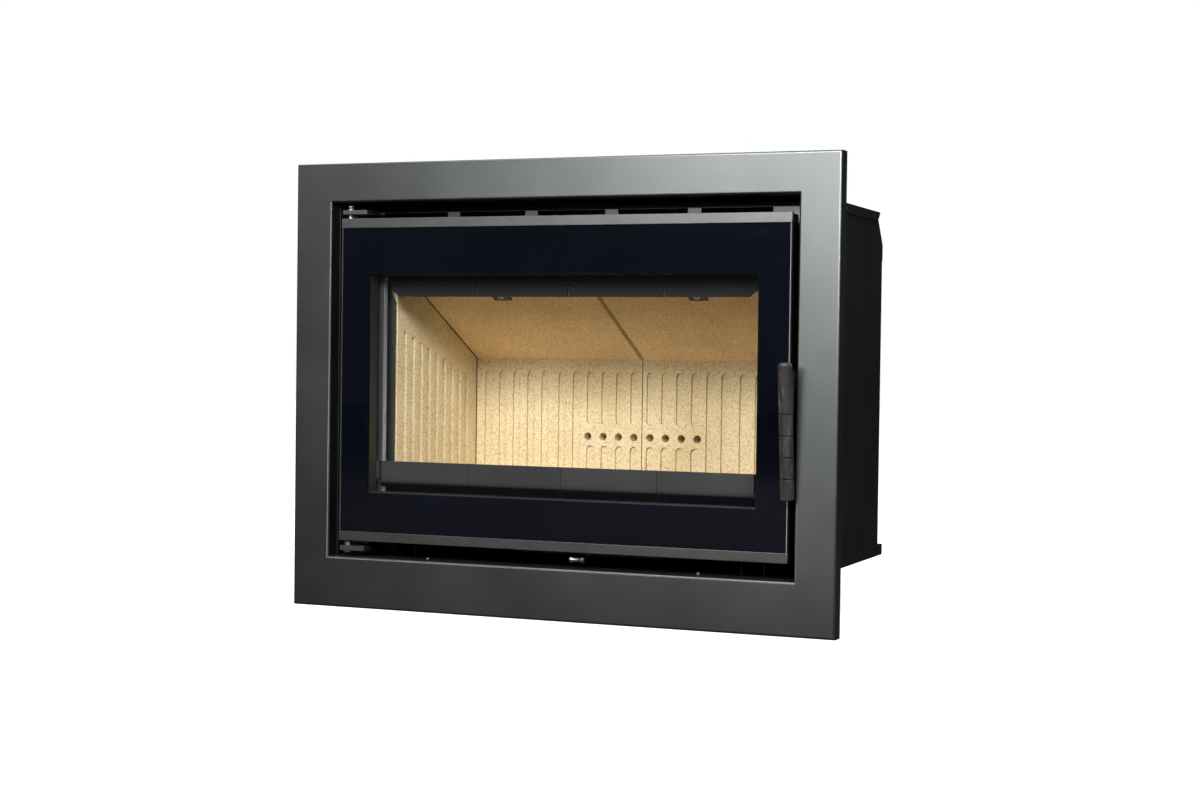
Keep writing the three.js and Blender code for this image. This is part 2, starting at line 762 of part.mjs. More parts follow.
// Folded steel strips over the top and bottom edges of the glass.
function makeTrims() {
  const face = DOOR.front - 0.4;
  const back = DOOR.front + DOOR.glass + GAP;
  const foldEnd = FRAME.front + 0.2;
  const strip = (edge, inward) => {
    const fold = 1.3;
    const outline = [
      [face, edge + inward * DOOR.trim],
      [face, edge + inward * 0.6],
      [face + 0.6, edge],
      [foldEnd, edge],
      [foldEnd, edge + inward * fold],
      [back, edge + inward * fold],
      [back, edge + inward * DOOR.trim],
    ];
    return prism(outline, "x", [-DOOR.halfWidth, DOOR.halfWidth]);
  };
  piece("trim_top", "brushedSteel", strip(DOOR.top, -1));
  piece("trim_bottom", "brushedSteel", strip(DOOR.bottom, 1));
}

// ---------------------------------------------------------------- hinges
const BRACKET = { x: [-288.5, -255], y: [8, 39.5], top: [426.4, 431.7], bottom: [10, 16], leg: 3.2 };

// Angle brackets on the firebox front: a thick lug that the pin passes through, and a leg.
function makeHinges() {
  const legY = [FRONT_PLATE.front - GAP - BRACKET.leg, FRONT_PLATE.front - GAP];
  const hole = rod(HINGE.pin + 0.4, "z", [0, 440], [HINGE.x, HINGE.y], 24);
  const upperLeg = block([BRACKET.x[0], -266], legY, [385, BRACKET.top[1]]);
  const upper = join([block(BRACKET.x, BRACKET.y, BRACKET.top), upperLeg]);
  piece("hinge_bracket_top", "brushedSteel", cut(upper, [hole]));
  const lowerLeg = block([BRACKET.x[0], -266], legY, [BRACKET.bottom[0], 57]);
  const lower = join([block(BRACKET.x, BRACKET.y, BRACKET.bottom), lowerLeg]);
  piece("hinge_bracket_bottom", "brushedSteel", cut(lower, [hole]));

  const axis = [HINGE.x, HINGE.y, 0];
  const { pin } = HINGE;
  const seat = BRACKET.top[1] + GAP;
  const topPin = [
    [0, 402],
    [pin, 403],
    [pin, seat],
    [5, seat],
    [5, seat + 1.8],
    [3, seat + 2.2],
    [3, seat + 3.2],
    [4.6, seat + 3.6],
    [4.6, seat + 5],
    [3.6, seat + 6],
    [0, seat + 6],
  ];
  piece("hinge_pin_top", "boltSteel", turned(topPin, "z", axis, 24));
  const nut = BRACKET.bottom[0] - GAP;
  const collar = [BRACKET.bottom[1] + GAP, DOOR.bottom - GAP];
  const bottomPin = [
    [0, nut - 3.2],
    [5.5, nut - 3.2],
    [5.5, nut],
    [pin, nut],
    [pin, collar[0]],
    [5.2, collar[0]],
    [5.2, collar[1]],
    [pin, collar[1]],
    [pin, 42],
    [0, 43],
  ];
  piece("hinge_pin_bottom", "boltSteel", turned(bottomPin, "z", axis, 24));
}

// ---------------------------------------------------------------- latch and handle
const LEAN = Math.atan2(BAR.bottomY - BAR.topY, BAR.topZ - BAR.bottomZ);
const BAR_LENGTH = Math.hypot(BAR.bottomY - BAR.topY, BAR.topZ - BAR.bottomZ);
const BAR_MIDDLE = [(BAR.topY + BAR.bottomY) / 2, (BAR.topZ + BAR.bottomZ) / 2];
const SLOT = { low: 12, high: 68, floor: 0.6 }; // where the latch arm enters the bar

// A point given along the leaning bar, as (y, z) of the insert.
function alongBar(out, up) {
  return [
    BAR_MIDDLE[0] + out * Math.cos(LEAN) - up * Math.sin(LEAN),
    BAR_MIDDLE[1] + out * Math.sin(LEAN) + up * Math.cos(LEAN),
  ];
}

// Round grip bar with turned rings, slotted behind for the latch arm.
function makeHandleBar() {
  const { radius, plain, rings, ringWidth, ringDepth, chamfer } = BAR;
  const half = BAR_LENGTH / 2;
  const pitch = (BAR_LENGTH - plain) / rings;
  const outline = [
    [0, -half],
    [radius - chamfer, -half],
    [radius, -half + chamfer],
  ];
  for (let i = 1; i <= rings; i++) {
    const height = -half + pitch * i;
    outline.push(
      [radius, height - ringWidth / 2],
      [radius - ringDepth, height - ringWidth / 4],
      [radius - ringDepth, height + ringWidth / 4],
      [radius, height + ringWidth / 2],
    );
  }
  outline.push([radius, half - chamfer], [radius - chamfer, half], [0, half]);
  const slotHalf = LATCH.thick / 2 + GAP;
  const slot = block([-slotHalf, slotHalf], [SLOT.floor, 12], [SLOT.low, SLOT.high]);
  const grip = new THREE.Group();
  grip.position.set(LATCH.x, ...BAR_MIDDLE);
  grip.rotation.x = LEAN;
  insert.add(grip);
  piece("handle_bar", "castBlack", cut(turned(outline, "z", [0, 0, 0], 24), [slot]), grip);
}

// Flat arm: a lug in the grip, a bored boss on the door's pivot and a hook that comes up behind
// the keeper's pin. Pulling the grip's foot forwards drops the hook.
function makeLatchArm() {
  const { x, thick, pivotY, pivotZ, pinY, pinZ, pin } = LATCH;
  const seat = pinZ - pin - 1.5;
  const hook = pinY + pin + 2.4;
  const outline = [
    alongBar(SLOT.floor + GAP, SLOT.high - GAP),
    alongBar(18, SLOT.high - GAP),
    [10, 240],
    [30, 232],
    [36, seat],
    [hook, seat],
    [hook, seat + 9],
    [hook + 2, seat + 11],
    [hook + 5.6, seat + 9],
    [hook + 7.6, seat],
    [hook + 5.6, seat - 12],
    [hook - 4, seat - 16],
    [30, 209],
    [10, 199],
    alongBar(18, SLOT.low + GAP),
    alongBar(SLOT.floor + GAP, SLOT.low + GAP),
  ];
  const arm = prism(outline, "x", [x - thick / 2, x + thick / 2]);
  const bore = rod(4.3, "x", [x - thick, x + thick], [pivotY, pivotZ], 24);
  piece("latch_arm", "castBlack", cut(arm, [bore]));

  const near = DOOR.halfWidth + GAP;
  const armNear = x - thick / 2 - GAP;
  const armFar = x + thick / 2 + GAP;
  const pivot = [
    [0, near],
    [7, near],
    [7, armNear],
    [4, armNear],
    [4, armFar],
    [6.5, armFar],
    [6.5, armFar + 0.7],
    [5.5, armFar + 1.2],
    [0, armFar + 1.2],
  ];
  piece("latch_pivot", "boltSteel", turned(pivot, "x", [0, pivotY, pivotZ], 24));

  const lug = block([279, 287.7], [FIREBOX.front, 57], [pinZ - 12, pinZ + 12]);
  const peg = rod(pin, "x", [287, CASING.halfWidth - SHEET - 0.5], [pinY, pinZ], 24);
  piece("latch_keeper", "brushedSteel", join([lug, peg]));
}

// ---------------------------------------------------------------- combustion air slide
function makeAirSlide() {
  const { x, z, knobY, knobLength, knobRadius } = AIR_SLIDE;
  const half = knobLength / 2;
  const outline = [
    [0, x - half],
    [knobRadius - 0.8, x - half],
    [knobRadius, x - half + 0.8],
    [knobRadius, x - half + 3],
    [knobRadius - 1.1, x - 2],
    [knobRadius - 1.1, x + 2],
    [knobRadius, x + half - 3],
    [knobRadius, x + half - 0.8],
    [knobRadius - 0.8, x + half],
    [0, x + half],
  ];
  const bore = rod(1.7, "y", [knobY - 0.6, knobY + 6], [x, z], 12);
  piece("air_knob", "boltSteel", cut(turned(outline, "x", [0, knobY, z], 20), [bore]));

  const bar = block([x - 4, x + 4], [15.5, 43.6], [z - 1.5, z + 1.5]);
  const spigot = rod(1.4, "y", [knobY - 0.2, 16], [x, z], 12);
  const upright = block([x - 4, x + 4], [40.4, 43.6], [z - 1.5, 23.4]);
  const blade = prism(
    [
      [22, 20],
      [112.5, 20],
      [112.5, 41.5],
      [37, 41.5],
      [37, 23.4],
      [22, 23.4],
    ],
    "y",
    [43.5, 45.4],
  );
  piece("air_slide", "boltSteel", join([bar, spigot, upright, blade]));
  const guide = block([-60, 125], [43.9, AIR_DUCT.front - GAP], [AIR_DUCT.bottom - 2, 19.7]);
  piece("air_slide_guide", "blackPaint", guide);
}

makeSurround();
makeCasingBase();
makeCasingLid();
makeCasingWalls();
makeRearRail();
makeAirGrille();
makeSupportRails();
makeFireboxShell();
makeFireboxFront();
makeFlueCollar();
makeAirDucts();
makeLining();
makeBaffleHolders();
makeBoardRetainers();
makeLogGuard();
makeAirDeflector();
makeDoorFrame();
makeGlazing();
makeTrims();
makeHinges();
makeHandleBar();
makeLatchArm();
makeAirSlide();

export default part;
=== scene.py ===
"""Finishes the inset fireplace: surround, glazed door, lined firebox, casing and plain studio.

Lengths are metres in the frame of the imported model: +Z up, the front towards -Y.
"""

import math

import bmesh
import bpy
import numpy as np
from mathutils import Matrix, Vector


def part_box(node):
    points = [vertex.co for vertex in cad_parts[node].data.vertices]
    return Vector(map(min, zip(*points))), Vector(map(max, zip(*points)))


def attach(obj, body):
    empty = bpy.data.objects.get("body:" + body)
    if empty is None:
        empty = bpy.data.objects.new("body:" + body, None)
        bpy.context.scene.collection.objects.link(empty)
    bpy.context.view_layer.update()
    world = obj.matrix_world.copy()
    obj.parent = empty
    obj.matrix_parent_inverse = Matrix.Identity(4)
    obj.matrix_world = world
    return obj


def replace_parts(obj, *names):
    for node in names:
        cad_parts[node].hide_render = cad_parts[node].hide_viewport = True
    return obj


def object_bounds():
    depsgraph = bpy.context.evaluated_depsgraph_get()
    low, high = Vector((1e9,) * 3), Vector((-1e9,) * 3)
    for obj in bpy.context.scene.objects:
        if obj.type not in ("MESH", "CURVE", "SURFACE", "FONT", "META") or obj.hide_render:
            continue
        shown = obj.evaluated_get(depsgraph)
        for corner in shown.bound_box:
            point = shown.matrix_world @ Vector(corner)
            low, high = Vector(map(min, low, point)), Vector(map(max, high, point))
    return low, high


bl_info = {
    "name": "Inset Fireplace",
    "version": (1, 0, 0),
    "blender": (4, 5, 0),
    "location": "View3D > Sidebar > Fireplace",
    "description": "Builds the visible pieces and finishes of an inset fireplace",
    "category": "Object",
}

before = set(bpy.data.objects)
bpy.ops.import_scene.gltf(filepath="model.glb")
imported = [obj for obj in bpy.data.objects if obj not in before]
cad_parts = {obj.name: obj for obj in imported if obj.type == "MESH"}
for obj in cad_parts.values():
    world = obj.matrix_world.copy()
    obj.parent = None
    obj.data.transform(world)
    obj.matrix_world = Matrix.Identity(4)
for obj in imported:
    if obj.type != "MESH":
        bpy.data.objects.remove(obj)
CAD_BOX = [list(corner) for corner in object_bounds()]
SURROUND_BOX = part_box("surround")
PANE_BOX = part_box("door_glass")
FLUE_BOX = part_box("flue_collar")
BAR_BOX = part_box("handle_bar")
FRONT = SURROUND_BOX[0].y  # the surround's face

SMALL_HEAD = 0.0028  # radius of the casing's screw heads
LID_ROW = (-0.135, 0.0, 0.130)  # y of the screws in the lid's folds
TRAY_ROW = (-0.135, -0.02, 0.086)  # y of the screws in the tray's folds
REAR_ROW, REAR_HEIGHT = (-0.25, -0.085, 0.085, 0.25), 0.3955  # x and z of those at the rear
MOUTH_HALF, MOUTH_HEIGHTS = 0.24735, (0.074, 0.3505)  # the front plate's folded mouth
BOARD_END = 0.2421  # back and baffle boards end here, with an open joint to the side boards
BAFFLE_RISE = 0.5013  # rise of the baffle's slope over its depth
GUARD_PAINTED_SHADOW = (0.101, 0.091)  # heights between which the guard turns black, a painted shadow of the glass print's lower edge
# the deflector turns black above these heights, a painted shade under the window's top edge
DEFLECTOR_PAINTED_SHADE = (0.3275, 0.3295)
BAR_LEAN, BAR_HEIGHT = 0.017, 0.154  # how far the grip's top stands back, over its height
BAR_MIDDLE = (-0.2165, 0.173)  # y and z of the grip's middle
CAMERA_PLACE = (0.9475, -2.3623, 0.2551)
CAMERA_TURNS = (22.273, -1.257, 0.756)  # yaw, pitch and roll in degrees
FOCAL_PIXELS, PICTURE_WIDTH, SENSOR = 1994.8, 1200.0, 36.0
AIM = (0.0, -0.2, 0.25)  # the point that the lamps face
WELD = 1e-6  # points closer than this become one


# ---------------------------------------------------------------- shader graphs
class Wire:
    """One output of a shader node, usable in Python arithmetic."""

    def __init__(self, graph, socket):
        self.graph = graph
        self.socket = socket

    def _maths(self, operation, *terms):
        return self.graph.node("ShaderNodeMath", {"operation": operation}, list(terms))

    def __add__(self, other):
        return self._maths("ADD", self, other)

    __radd__ = __add__

    def __sub__(self, other):
        return self._maths("SUBTRACT", self, other)

    def __rsub__(self, other):
        return self._maths("SUBTRACT", other, self)

    def __mul__(self, other):
        return self._maths("MULTIPLY", self, other)

    __rmul__ = __mul__

    def __gt__(self, other):
        return self._maths("GREATER_THAN", self, other)

    def __abs__(self):
        return self._maths("ABSOLUTE", self)

    def sine(self):
        return self._maths("SINE", self)

    def ramp(self, low, high):
        """0 below low, 1 above high and a smooth step between; low may be the larger one."""
        settings = {"interpolation_type": "SMOOTHSTEP"}
        sockets = {"Value": self, "From Min": low, "From Max": high}
        return self.graph.node("ShaderNodeMapRange", settings, sockets)


class Graph:
    """A material or world whose nodes are written as expressions."""

    def __init__(self, name, world=False):
        holder = bpy.data.worlds if world else bpy.data.materials
        self.made = holder.new(name)
        self.made.use_nodes = True
        self.tree = self.made.node_tree
        self.tree.nodes.clear()
        kind = "ShaderNodeOutputWorld" if world else "ShaderNodeOutputMaterial"
        self.output = self.tree.nodes.new(kind)
        self.place = self.node("ShaderNodeTexCoord", {}, {}, "Object")

    def node(self, kind, settings, sockets, output=0):
        """Adds a node, applies its settings, then fills its sockets with values or wires."""
        made = self.tree.nodes.new(kind)
        for key, value in settings.items():
            setattr(made, key, value)
        pairs = sockets.items() if isinstance(sockets, dict) else enumerate(sockets)
        for key, value in pairs:
            if isinstance(value, Wire):
                self.tree.links.new(value.socket, made.inputs[key])
            else:
                made.inputs[key].default_value = value
        return Wire(self, made.outputs[output])

    def axis(self, name, place=None):
        return self.node("ShaderNodeSeparateXYZ", {}, [place or self.place], name)

    def stretch(self, scale):
        return self.node("ShaderNodeMapping", {}, {"Vector": self.place, "Scale": scale})

    def noise(self, scale, detail=2.0, rough=0.5, place=None):
        sockets = {
            "Vector": place or self.place,
            "Scale": scale,
            "Detail": detail,
            "Roughness": rough,
        }
        return self.node("ShaderNodeTexNoise", {}, sockets)

    def cells(self, scale, output="Distance"):
        sockets = {"Vector": self.place, "Scale": scale}
        return self.node("ShaderNodeTexVoronoi", {}, sockets, output)

    def blend(self, factor, first, second):
        """Mixes two colours, each a tuple of three or a wire."""
        sockets = {0: factor, 6: self._rgba(first), 7: self._rgba(second)}
        return self.node("ShaderNodeMix", {"data_type": "RGBA"}, sockets, 2)

    @staticmethod
    def _rgba(colour):
        return colour if isinstance(colour, Wire) else (*tuple(colour)[:3], 1.0)

    def bump(self, height, depth, strength):
        sockets = {"Strength": strength, "Distance": depth, "Height": height}
        return self.node("ShaderNodeBump", {}, sockets)

    def surface(self, **sockets):
        """Ends the material in one Principled shader; names use _ for a space."""
        named = {key.replace("_", " "): value for key, value in sockets.items()}
        if "Base Color" in named:
            named["Base Color"] = self._rgba(named["Base Color"])
        return self.finish(self.node("ShaderNodeBsdfPrincipled", {}, named))

    def finish(self, shader):
        self.tree.links.new(shader.socket, self.output.inputs["Surface"])
        return self.made


# ---------------------------------------------------------------- finishes
def toned(colour, k):
    """The same colour, k times as bright."""
    return [c * k for c in colour]


def satin_coat(name, colour, sheen, shadow_above=None):
    """Fine satin powder coat: a soft orange peel, faint mottling and a few rubbed places.

    Above a height, when one is given, the coat turns black: a painted shadow where the surround's
    top fold shades the grille.
    """
    g = Graph(name)
    peel = g.noise(950.0, 3.0, 0.55)
    cloud = g.noise(5.0, 3.0, 0.6)
    rub = g.noise(38.0, 5.0, 0.7)
    tint = g.blend(cloud.ramp(0.3, 0.75), toned(colour, 0.9), toned(colour, 1.1))
    tint = g.blend(rub.ramp(0.62, 0.8) * 0.25, tint, toned(colour, 1.35))
    rough = sheen + (peel - 0.5) * 0.10 + (cloud - 0.5) * 0.08
    skin = g.bump(peel, 0.00012, 0.35)
    if shadow_above is not None:
        # painted shadow: black above the given height
        over = g.axis("Z").ramp(shadow_above - 0.0002, shadow_above + 0.0008)
        tint = g.blend(over, tint, (0.003, 0.003, 0.003))
    return g.surface(Base_Color=tint, Metallic=1.0, Roughness=rough, Normal=skin)


def brushed_steel(name, colour, grain_axis, rough):
    """Steel brushed along one axis: fine streaks in tone, roughness and relief."""
    g = Graph(name)
    fine, wide = ([k if axis == grain_axis else 1.0 for axis in "XYZ"] for k in (0.012, 0.05))
    lines = g.noise(5200.0, 3.0, 0.6, g.stretch(fine))
    bands = g.noise(420.0, 2.0, 0.5, g.stretch(wide))
    cloud = g.noise(11.0, 3.0, 0.6)
    tint = g.blend(lines.ramp(0.3, 0.7), toned(colour, 0.78), toned(colour, 1.15))
    tint = g.blend(cloud.ramp(0.35, 0.8) * 0.5, tint, toned(colour, 0.7))
    shine = rough + (lines - 0.5) * 0.22 + (bands - 0.5) * 0.12
    skin = g.bump(lines, 0.00005, 0.5)
    return g.surface(Base_Color=tint, Metallic=0.95, Roughness=shine, Normal=skin)


def turned_steel(name, colour):
    """Zinc-plated or turned steel with faint scuffs."""
    g = Graph(name)
    scuff = g.noise(900.0, 4.0, 0.65)
    cloud = g.noise(160.0, 2.0, 0.5)
    tint = g.blend(cloud.ramp(0.3, 0.8), colour, toned(colour, 0.6))
    shine = 0.3 + (scuff - 0.5) * 0.3
    skin = g.bump(scuff, 0.00006, 0.5)
    return g.surface(Base_Color=tint, Metallic=0.95, Roughness=shine, Normal=skin)


def matt_paint(name, colour, rough, dust, metallic=0.0, painted_shade=None):
    """Heat-proof paint: close grain, slow changes of tone and a little settled dust.

    Two heights may be given: from the first to the second the paint turns black, a painted shade in
    place of a cast shadow.
    """
    g = Graph(name)
    grain = g.noise(1500.0, 3.0, 0.6)
    cloud = g.noise(7.0, 4.0, 0.6)
    speck = g.cells(260.0)
    tint = g.blend(cloud.ramp(0.3, 0.75), toned(colour, 0.8), toned(colour, 1.25))
    dusty = (speck.ramp(0.14, 0.04) * cloud.ramp(0.45, 0.7)) * dust
    tint = g.blend(dusty, tint, [c * 2.6 + 0.02 for c in colour])
    if painted_shade is not None:
        # painted shade: black between the two heights, standing in for a cast shadow
        tint = g.blend(g.axis("Z").ramp(*painted_shade), tint, (0.003, 0.0035, 0.005))
    shine = rough + (grain - 0.5) * 0.16 + (cloud - 0.5) * 0.1
    skin = g.bump(grain, 0.0001, 0.45)
    return g.surface(
        Base_Color=tint,
        Metallic=metallic,
        Roughness=shine,
        Specular_IOR_Level=0.3,
        Normal=skin,
    )


def worn_fold(name, colour, bare_and_highlight, half_width, heights):
    """Heat-proof paint that has burnt off the folded edge inside a mouth, down to scaled steel; the
    steel's pale tone is also a painted highlight where the fold catches the light.
    """
    g = Graph(name)
    grain = g.noise(1500.0, 3.0, 0.6)
    cloud = g.noise(9.0, 4.0, 0.6)
    streak = g.noise(60.0, 4.0, 0.65, g.stretch((1.0, 1.0, 0.3)))
    inside = g.axis("Z").ramp(heights[0], heights[0] + 0.002)
    inside = inside * g.axis("Z").ramp(heights[1], heights[1] - 0.002)
    inside = inside * abs(g.axis("X")).ramp(half_width + 0.0002, half_width)
    # bare steel on the fold's inner faces: wear, and pale as a painted highlight as well
    worn_and_highlight = inside * streak.ramp(0.18, 0.42)
    tint = g.blend(cloud.ramp(0.3, 0.75), toned(colour, 0.8), toned(colour, 1.25))
    scale = g.blend(streak.ramp(0.4, 0.8), bare_and_highlight, toned(bare_and_highlight, 0.6))
    tint = g.blend(worn_and_highlight, tint, scale)
    shine = 0.55 + (grain - 0.5) * 0.16 - worn_and_highlight * 0.2
    skin = g.bump(grain, 0.0001, 0.45)
    return g.surface(Base_Color=tint, Metallic=worn_and_highlight * 0.3, Roughness=shine, Normal=skin)


def cast_satin(name, colour, worn_and_highlight):
    """Blackened steel with a satin skin, hand-polished in places; the pale polished streaks are
    also painted highlights.
    """
    g = Graph(name)
    grain = g.noise(1100.0, 4.0, 0.6)
    cloud = g.noise(45.0, 3.0, 0.6)
    polish_and_highlight = g.noise(120.0, 4.0, 0.7, g.stretch((1.0, 1.0, 0.25)))
    tint = g.blend(cloud.ramp(0.3, 0.75), toned(colour, 0.8), toned(colour, 1.2))
    # pale polished streaks: wear, and painted highlight streaks as well
    tint = g.blend(polish_and_highlight.ramp(0.48, 0.72) * 0.7, tint, worn_and_highlight)
    shine = 0.42 + (grain - 0.5) * 0.2 - polish_and_highlight.ramp(0.48, 0.72) * 0.12
    skin = g.bump(grain, 0.00012, 0.5)
    return g.surface(Base_Color=tint, Metallic=0.6, Roughness=shine, Normal=skin)


def fire_board(name, colour, deep, fleck):
    """Pressed mineral board: crushed flakes of many tones, dark and gold flecks, an open grain."""
    g = Graph(name)
    flake = g.cells(620.0, "Color")
    tone = g.axis("X", flake)
    pick = g.axis("Y", flake)
    grain = g.noise(1300.0, 4.0, 0.7)
    stain = g.noise(10.0, 4.0, 0.6)
    body = g.blend(stain.ramp(0.3, 0.75), colour, deep)
    body = g.blend(tone.ramp(0.0, 0.9) * 0.5, body, toned(colour, 1.12))
    body = g.blend(pick.ramp(0.72, 0.86) * 0.6, body, toned(deep, 0.68))
    body = g.blend(grain.ramp(0.54, 0.38) * 0.4, body, toned(deep, 0.55))
    pit = g.cells(330.0, "Color")
    spot = g.cells(330.0).ramp(0.30, 0.16)
    dark = (g.axis("X", pit) > 0.93) * spot
    gold = (g.axis("Y", pit) > 0.91) * spot
    body = g.blend(dark * 0.75, body, fleck)
    body = g.blend(gold * 0.5, body, (0.62, 0.36, 0.11))
    relief = grain * 0.5 + tone * 0.35 - dark * 0.9
    skin = g.bump(relief, 0.0004, 0.55)
    return g.surface(Base_Color=body, Roughness=0.93, Specular_IOR_Level=0.25, Normal=skin)


def printed_glass(name, half_width, low, high, print_colour, clear_alpha, edge):
    """Glass ceramic: a dark print round a clear window given by its half width and heights.

    The ground side edges, beyond edge from the middle, are pale and matt.
    """
    g = Graph(name)
    x = abs(g.axis("X"))
    z = g.axis("Z")
    soft = 0.0003
    inside = x.ramp(half_width + soft, half_width - soft)
    inside = inside * z.ramp(low - soft, low + soft) * z.ramp(high + soft, high - soft)
    wave = g.noise(9.0, 2.0, 0.5)
    print_tone = g.blend(wave.ramp(0.3, 0.8), print_colour, toned(print_colour, 1.25))
    smear = g.noise(26.0, 4.0, 0.65, g.stretch((0.5, 1.0, 1.6)))
    tint = g.blend(inside, print_tone, (0.02, 0.022, 0.026))
    cover = 1.0 - inside * (1.0 - clear_alpha) + inside * (smear - 0.5) * 0.03
    ground = x.ramp(edge, edge + 0.0002)
    tint = g.blend(ground, tint, (0.30, 0.32, 0.31))
    rough = 0.035 + smear.ramp(0.5, 0.85) * 0.04 + ground * 0.4
    skin = g.bump(wave, 0.0002, 0.05)
    return g.surface(
        Base_Color=tint,
        Roughness=rough,
        Alpha=cover,
        Specular_IOR_Level=0.5,
        Normal=skin,
    )


def braided_rope(name, colour):
    """Woven glass fibre: crossing strands counted along and round the piece by its UV map."""
    g = Graph(name)
    uv = g.node("ShaderNodeUVMap", {"uv_map": "weave"}, {})
    along = g.axis("X", uv)
    around = g.axis("Y", uv)
    left = (along + around).sine()
    right = (along - around).sine()
    strand = (left * right).ramp(-0.7, 0.7)
    fuzz = g.noise(2600.0, 3.0, 0.6)
    tint = g.blend(strand, toned(colour, 0.55), toned(colour, 1.35))
    tint = g.blend(fuzz.ramp(0.45, 0.7) * 0.3, tint, toned(colour, 1.8))
    skin = g.bump(strand * 0.8 + fuzz * 0.3, 0.0005, 0.7)
    return g.surface(Base_Color=tint, Roughness=0.92, Specular_IOR_Level=0.3, Normal=skin)


# ---------------------------------------------------------------- shapes
def joined(name, points, faces, finish, body, sharp=34.0, uv=None):
    """Makes one finished piece from vertex and face arrays, welds it and puts it on its body."""
    mesh = bpy.data.meshes.new(name)
    mesh.from_pydata(np.asarray(points, float).tolist(), [], [list(f) for f in faces])
    if uv is not None:
        layer = mesh.uv_layers.new(name="weave")
        corners = np.empty(len(mesh.loops), int)
        mesh.loops.foreach_get("vertex_index", corners)
        layer.data.foreach_set("uv", np.asarray(uv, float)[corners].ravel())
    work = bmesh.new()
    work.from_mesh(mesh)
    bmesh.ops.remove_doubles(work, verts=work.verts, dist=WELD)
    bmesh.ops.recalc_face_normals(work, faces=work.faces)
    work.to_mesh(mesh)
    work.free()
    return shown(name, mesh, finish, body, sharp)


def shown(name, mesh, finish, body, sharp):
    """Links a mesh as a smooth-shaded piece with sharp edges kept above an angle."""
    mesh.polygons.foreach_set("use_smooth", [True] * len(mesh.polygons))
    mesh.set_sharp_from_angle(angle=math.radians(sharp))
    mesh.materials.append(finish)
    piece = bpy.data.objects.new(name, mesh)
    bpy.context.scene.collection.objects.link(piece)
    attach(piece, body)
    return piece


def weighted(piece):
    """Keeps large flat faces flat beside narrow rounded ones."""
    shade = piece.modifiers.new("Face weights", "WEIGHTED_NORMAL")
    shade.keep_sharp = True
    return piece


def grid_faces(rows, columns, close_rows, close_columns):
    """Quads of a rows by columns grid of points, each way open or closed on itself."""
    r = np.arange(rows if close_rows else rows - 1)
    c = np.arange(columns if close_columns else columns - 1)
    r, c = np.meshgrid(r, c, indexing="ij")
    down, right = (r + 1) % rows, (c + 1) % columns
    quads = [r * columns + c, r * columns + right, down * columns + right, down * columns + c]
    return np.stack(quads, -1).reshape(-1, 4)


def turned(profile, sides, axis, centre, wave=None):
    """(r, h) turned: x = r cos a, y = r sin a, z = h, with z then laid along axis from centre.

    wave(a, r) gives the radius, so a socket is a function of the angle. The result is points and
    quads; a profile that ends on the axis closes itself.
    """
    profile = np.asarray(profile, float)
    angle = np.linspace(0.0, 2.0 * np.pi, sides, endpoint=False)
    radius = np.repeat(profile[:, :1], sides, 1)
    if wave is not None:
        radius = wave(angle[None, :], radius)
    height = np.repeat(profile[:, 1:2], sides, 1)
    flat = [radius * np.cos(angle), radius * np.sin(angle), height]
    points = np.stack(flat, -1).reshape(-1, 3)
    turn = Vector((0.0, 0.0, 1.0)).rotation_difference(Vector(axis)).to_matrix()
    faces = grid_faces(len(profile), sides, False, True)
    return points @ np.array(turn).T + np.array(centre), faces


def gathered(shapes):
    """Several (points, faces) as one."""
    points, faces, start = [], [], 0
    for p, f in shapes:
        points.append(p)
        faces.extend((np.asarray(f) + start).tolist())
        start += len(p)
    return np.concatenate(points), faces


def ring_points(profile):
    """A section carried round a rectangle with mitred corners.

    Each row is (half width, bottom, top, out, y): the corners are at x = +-(half width + out) and
    z = bottom - out or top + out, at depth y.
    """
    half, low, high, out, y = np.asarray(profile, float).T
    x = half + out
    corners = [(-x, low - out), (x, low - out), (x, high + out), (-x, high + out)]
    points = [np.stack([cx, y, cz], -1) for cx, cz in corners]
    return np.stack(points, 1).reshape(-1, 3)


def arc(centre, radius, first, last, steps):
    """(a, b) = centre + radius (cos t, sin t), t in degrees from first to last."""
    t = np.radians(np.linspace(first, last, steps + 1))
    return np.stack([centre[0] + radius * np.cos(t), centre[1] + radius * np.sin(t)], -1)


def softened(node, name, finish, body, width, segments=2, reach=1.0):
    """A welded copy of a CAD node whose edges are rounded over; the copy stands for the node.

    No point of it lies further than reach to either side, which opens the joint beside a board.
    """
    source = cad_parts[node].data
    co = np.empty(len(source.vertices) * 3)
    source.vertices.foreach_get("co", co)
    co[0::3] = np.clip(co[0::3], -reach, reach)
    corners = np.empty(len(source.loops), int)
    source.loops.foreach_get("vertex_index", corners)
    mesh = bpy.data.meshes.new(name)
    mesh.from_pydata(co.reshape(-1, 3).tolist(), [], corners.reshape(-1, 3).tolist())
    work = bmesh.new()
    work.from_mesh(mesh)
    bmesh.ops.remove_doubles(work, verts=work.verts, dist=2 * WELD)
    bmesh.ops.dissolve_degenerate(work, edges=work.edges, dist=WELD)
    flat = math.radians(1.0)
    bmesh.ops.dissolve_limit(work, angle_limit=flat, verts=work.verts, edges=work.edges)
    work.to_mesh(mesh)
    work.free()
    piece = shown(name, mesh, finish, body, 40.0)
    edge = piece.modifiers.new("Rounded edges", "BEVEL")
    edge.width = width
    edge.segments = segments
    edge.limit_method = "ANGLE"
    edge.angle_limit = math.radians(32.0)
    edge.miter_outer = "MITER_ARC"
    edge.loop_slide = False
    weighted(piece)
    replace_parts(piece, node)
    return piece


def painted(finish, *names):
    """Gives CAD nodes a finish; their meshes stay as they are."""
    for name in names:
        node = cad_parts[name]
        node.data.materials.clear()
        node.data.materials.append(finish)


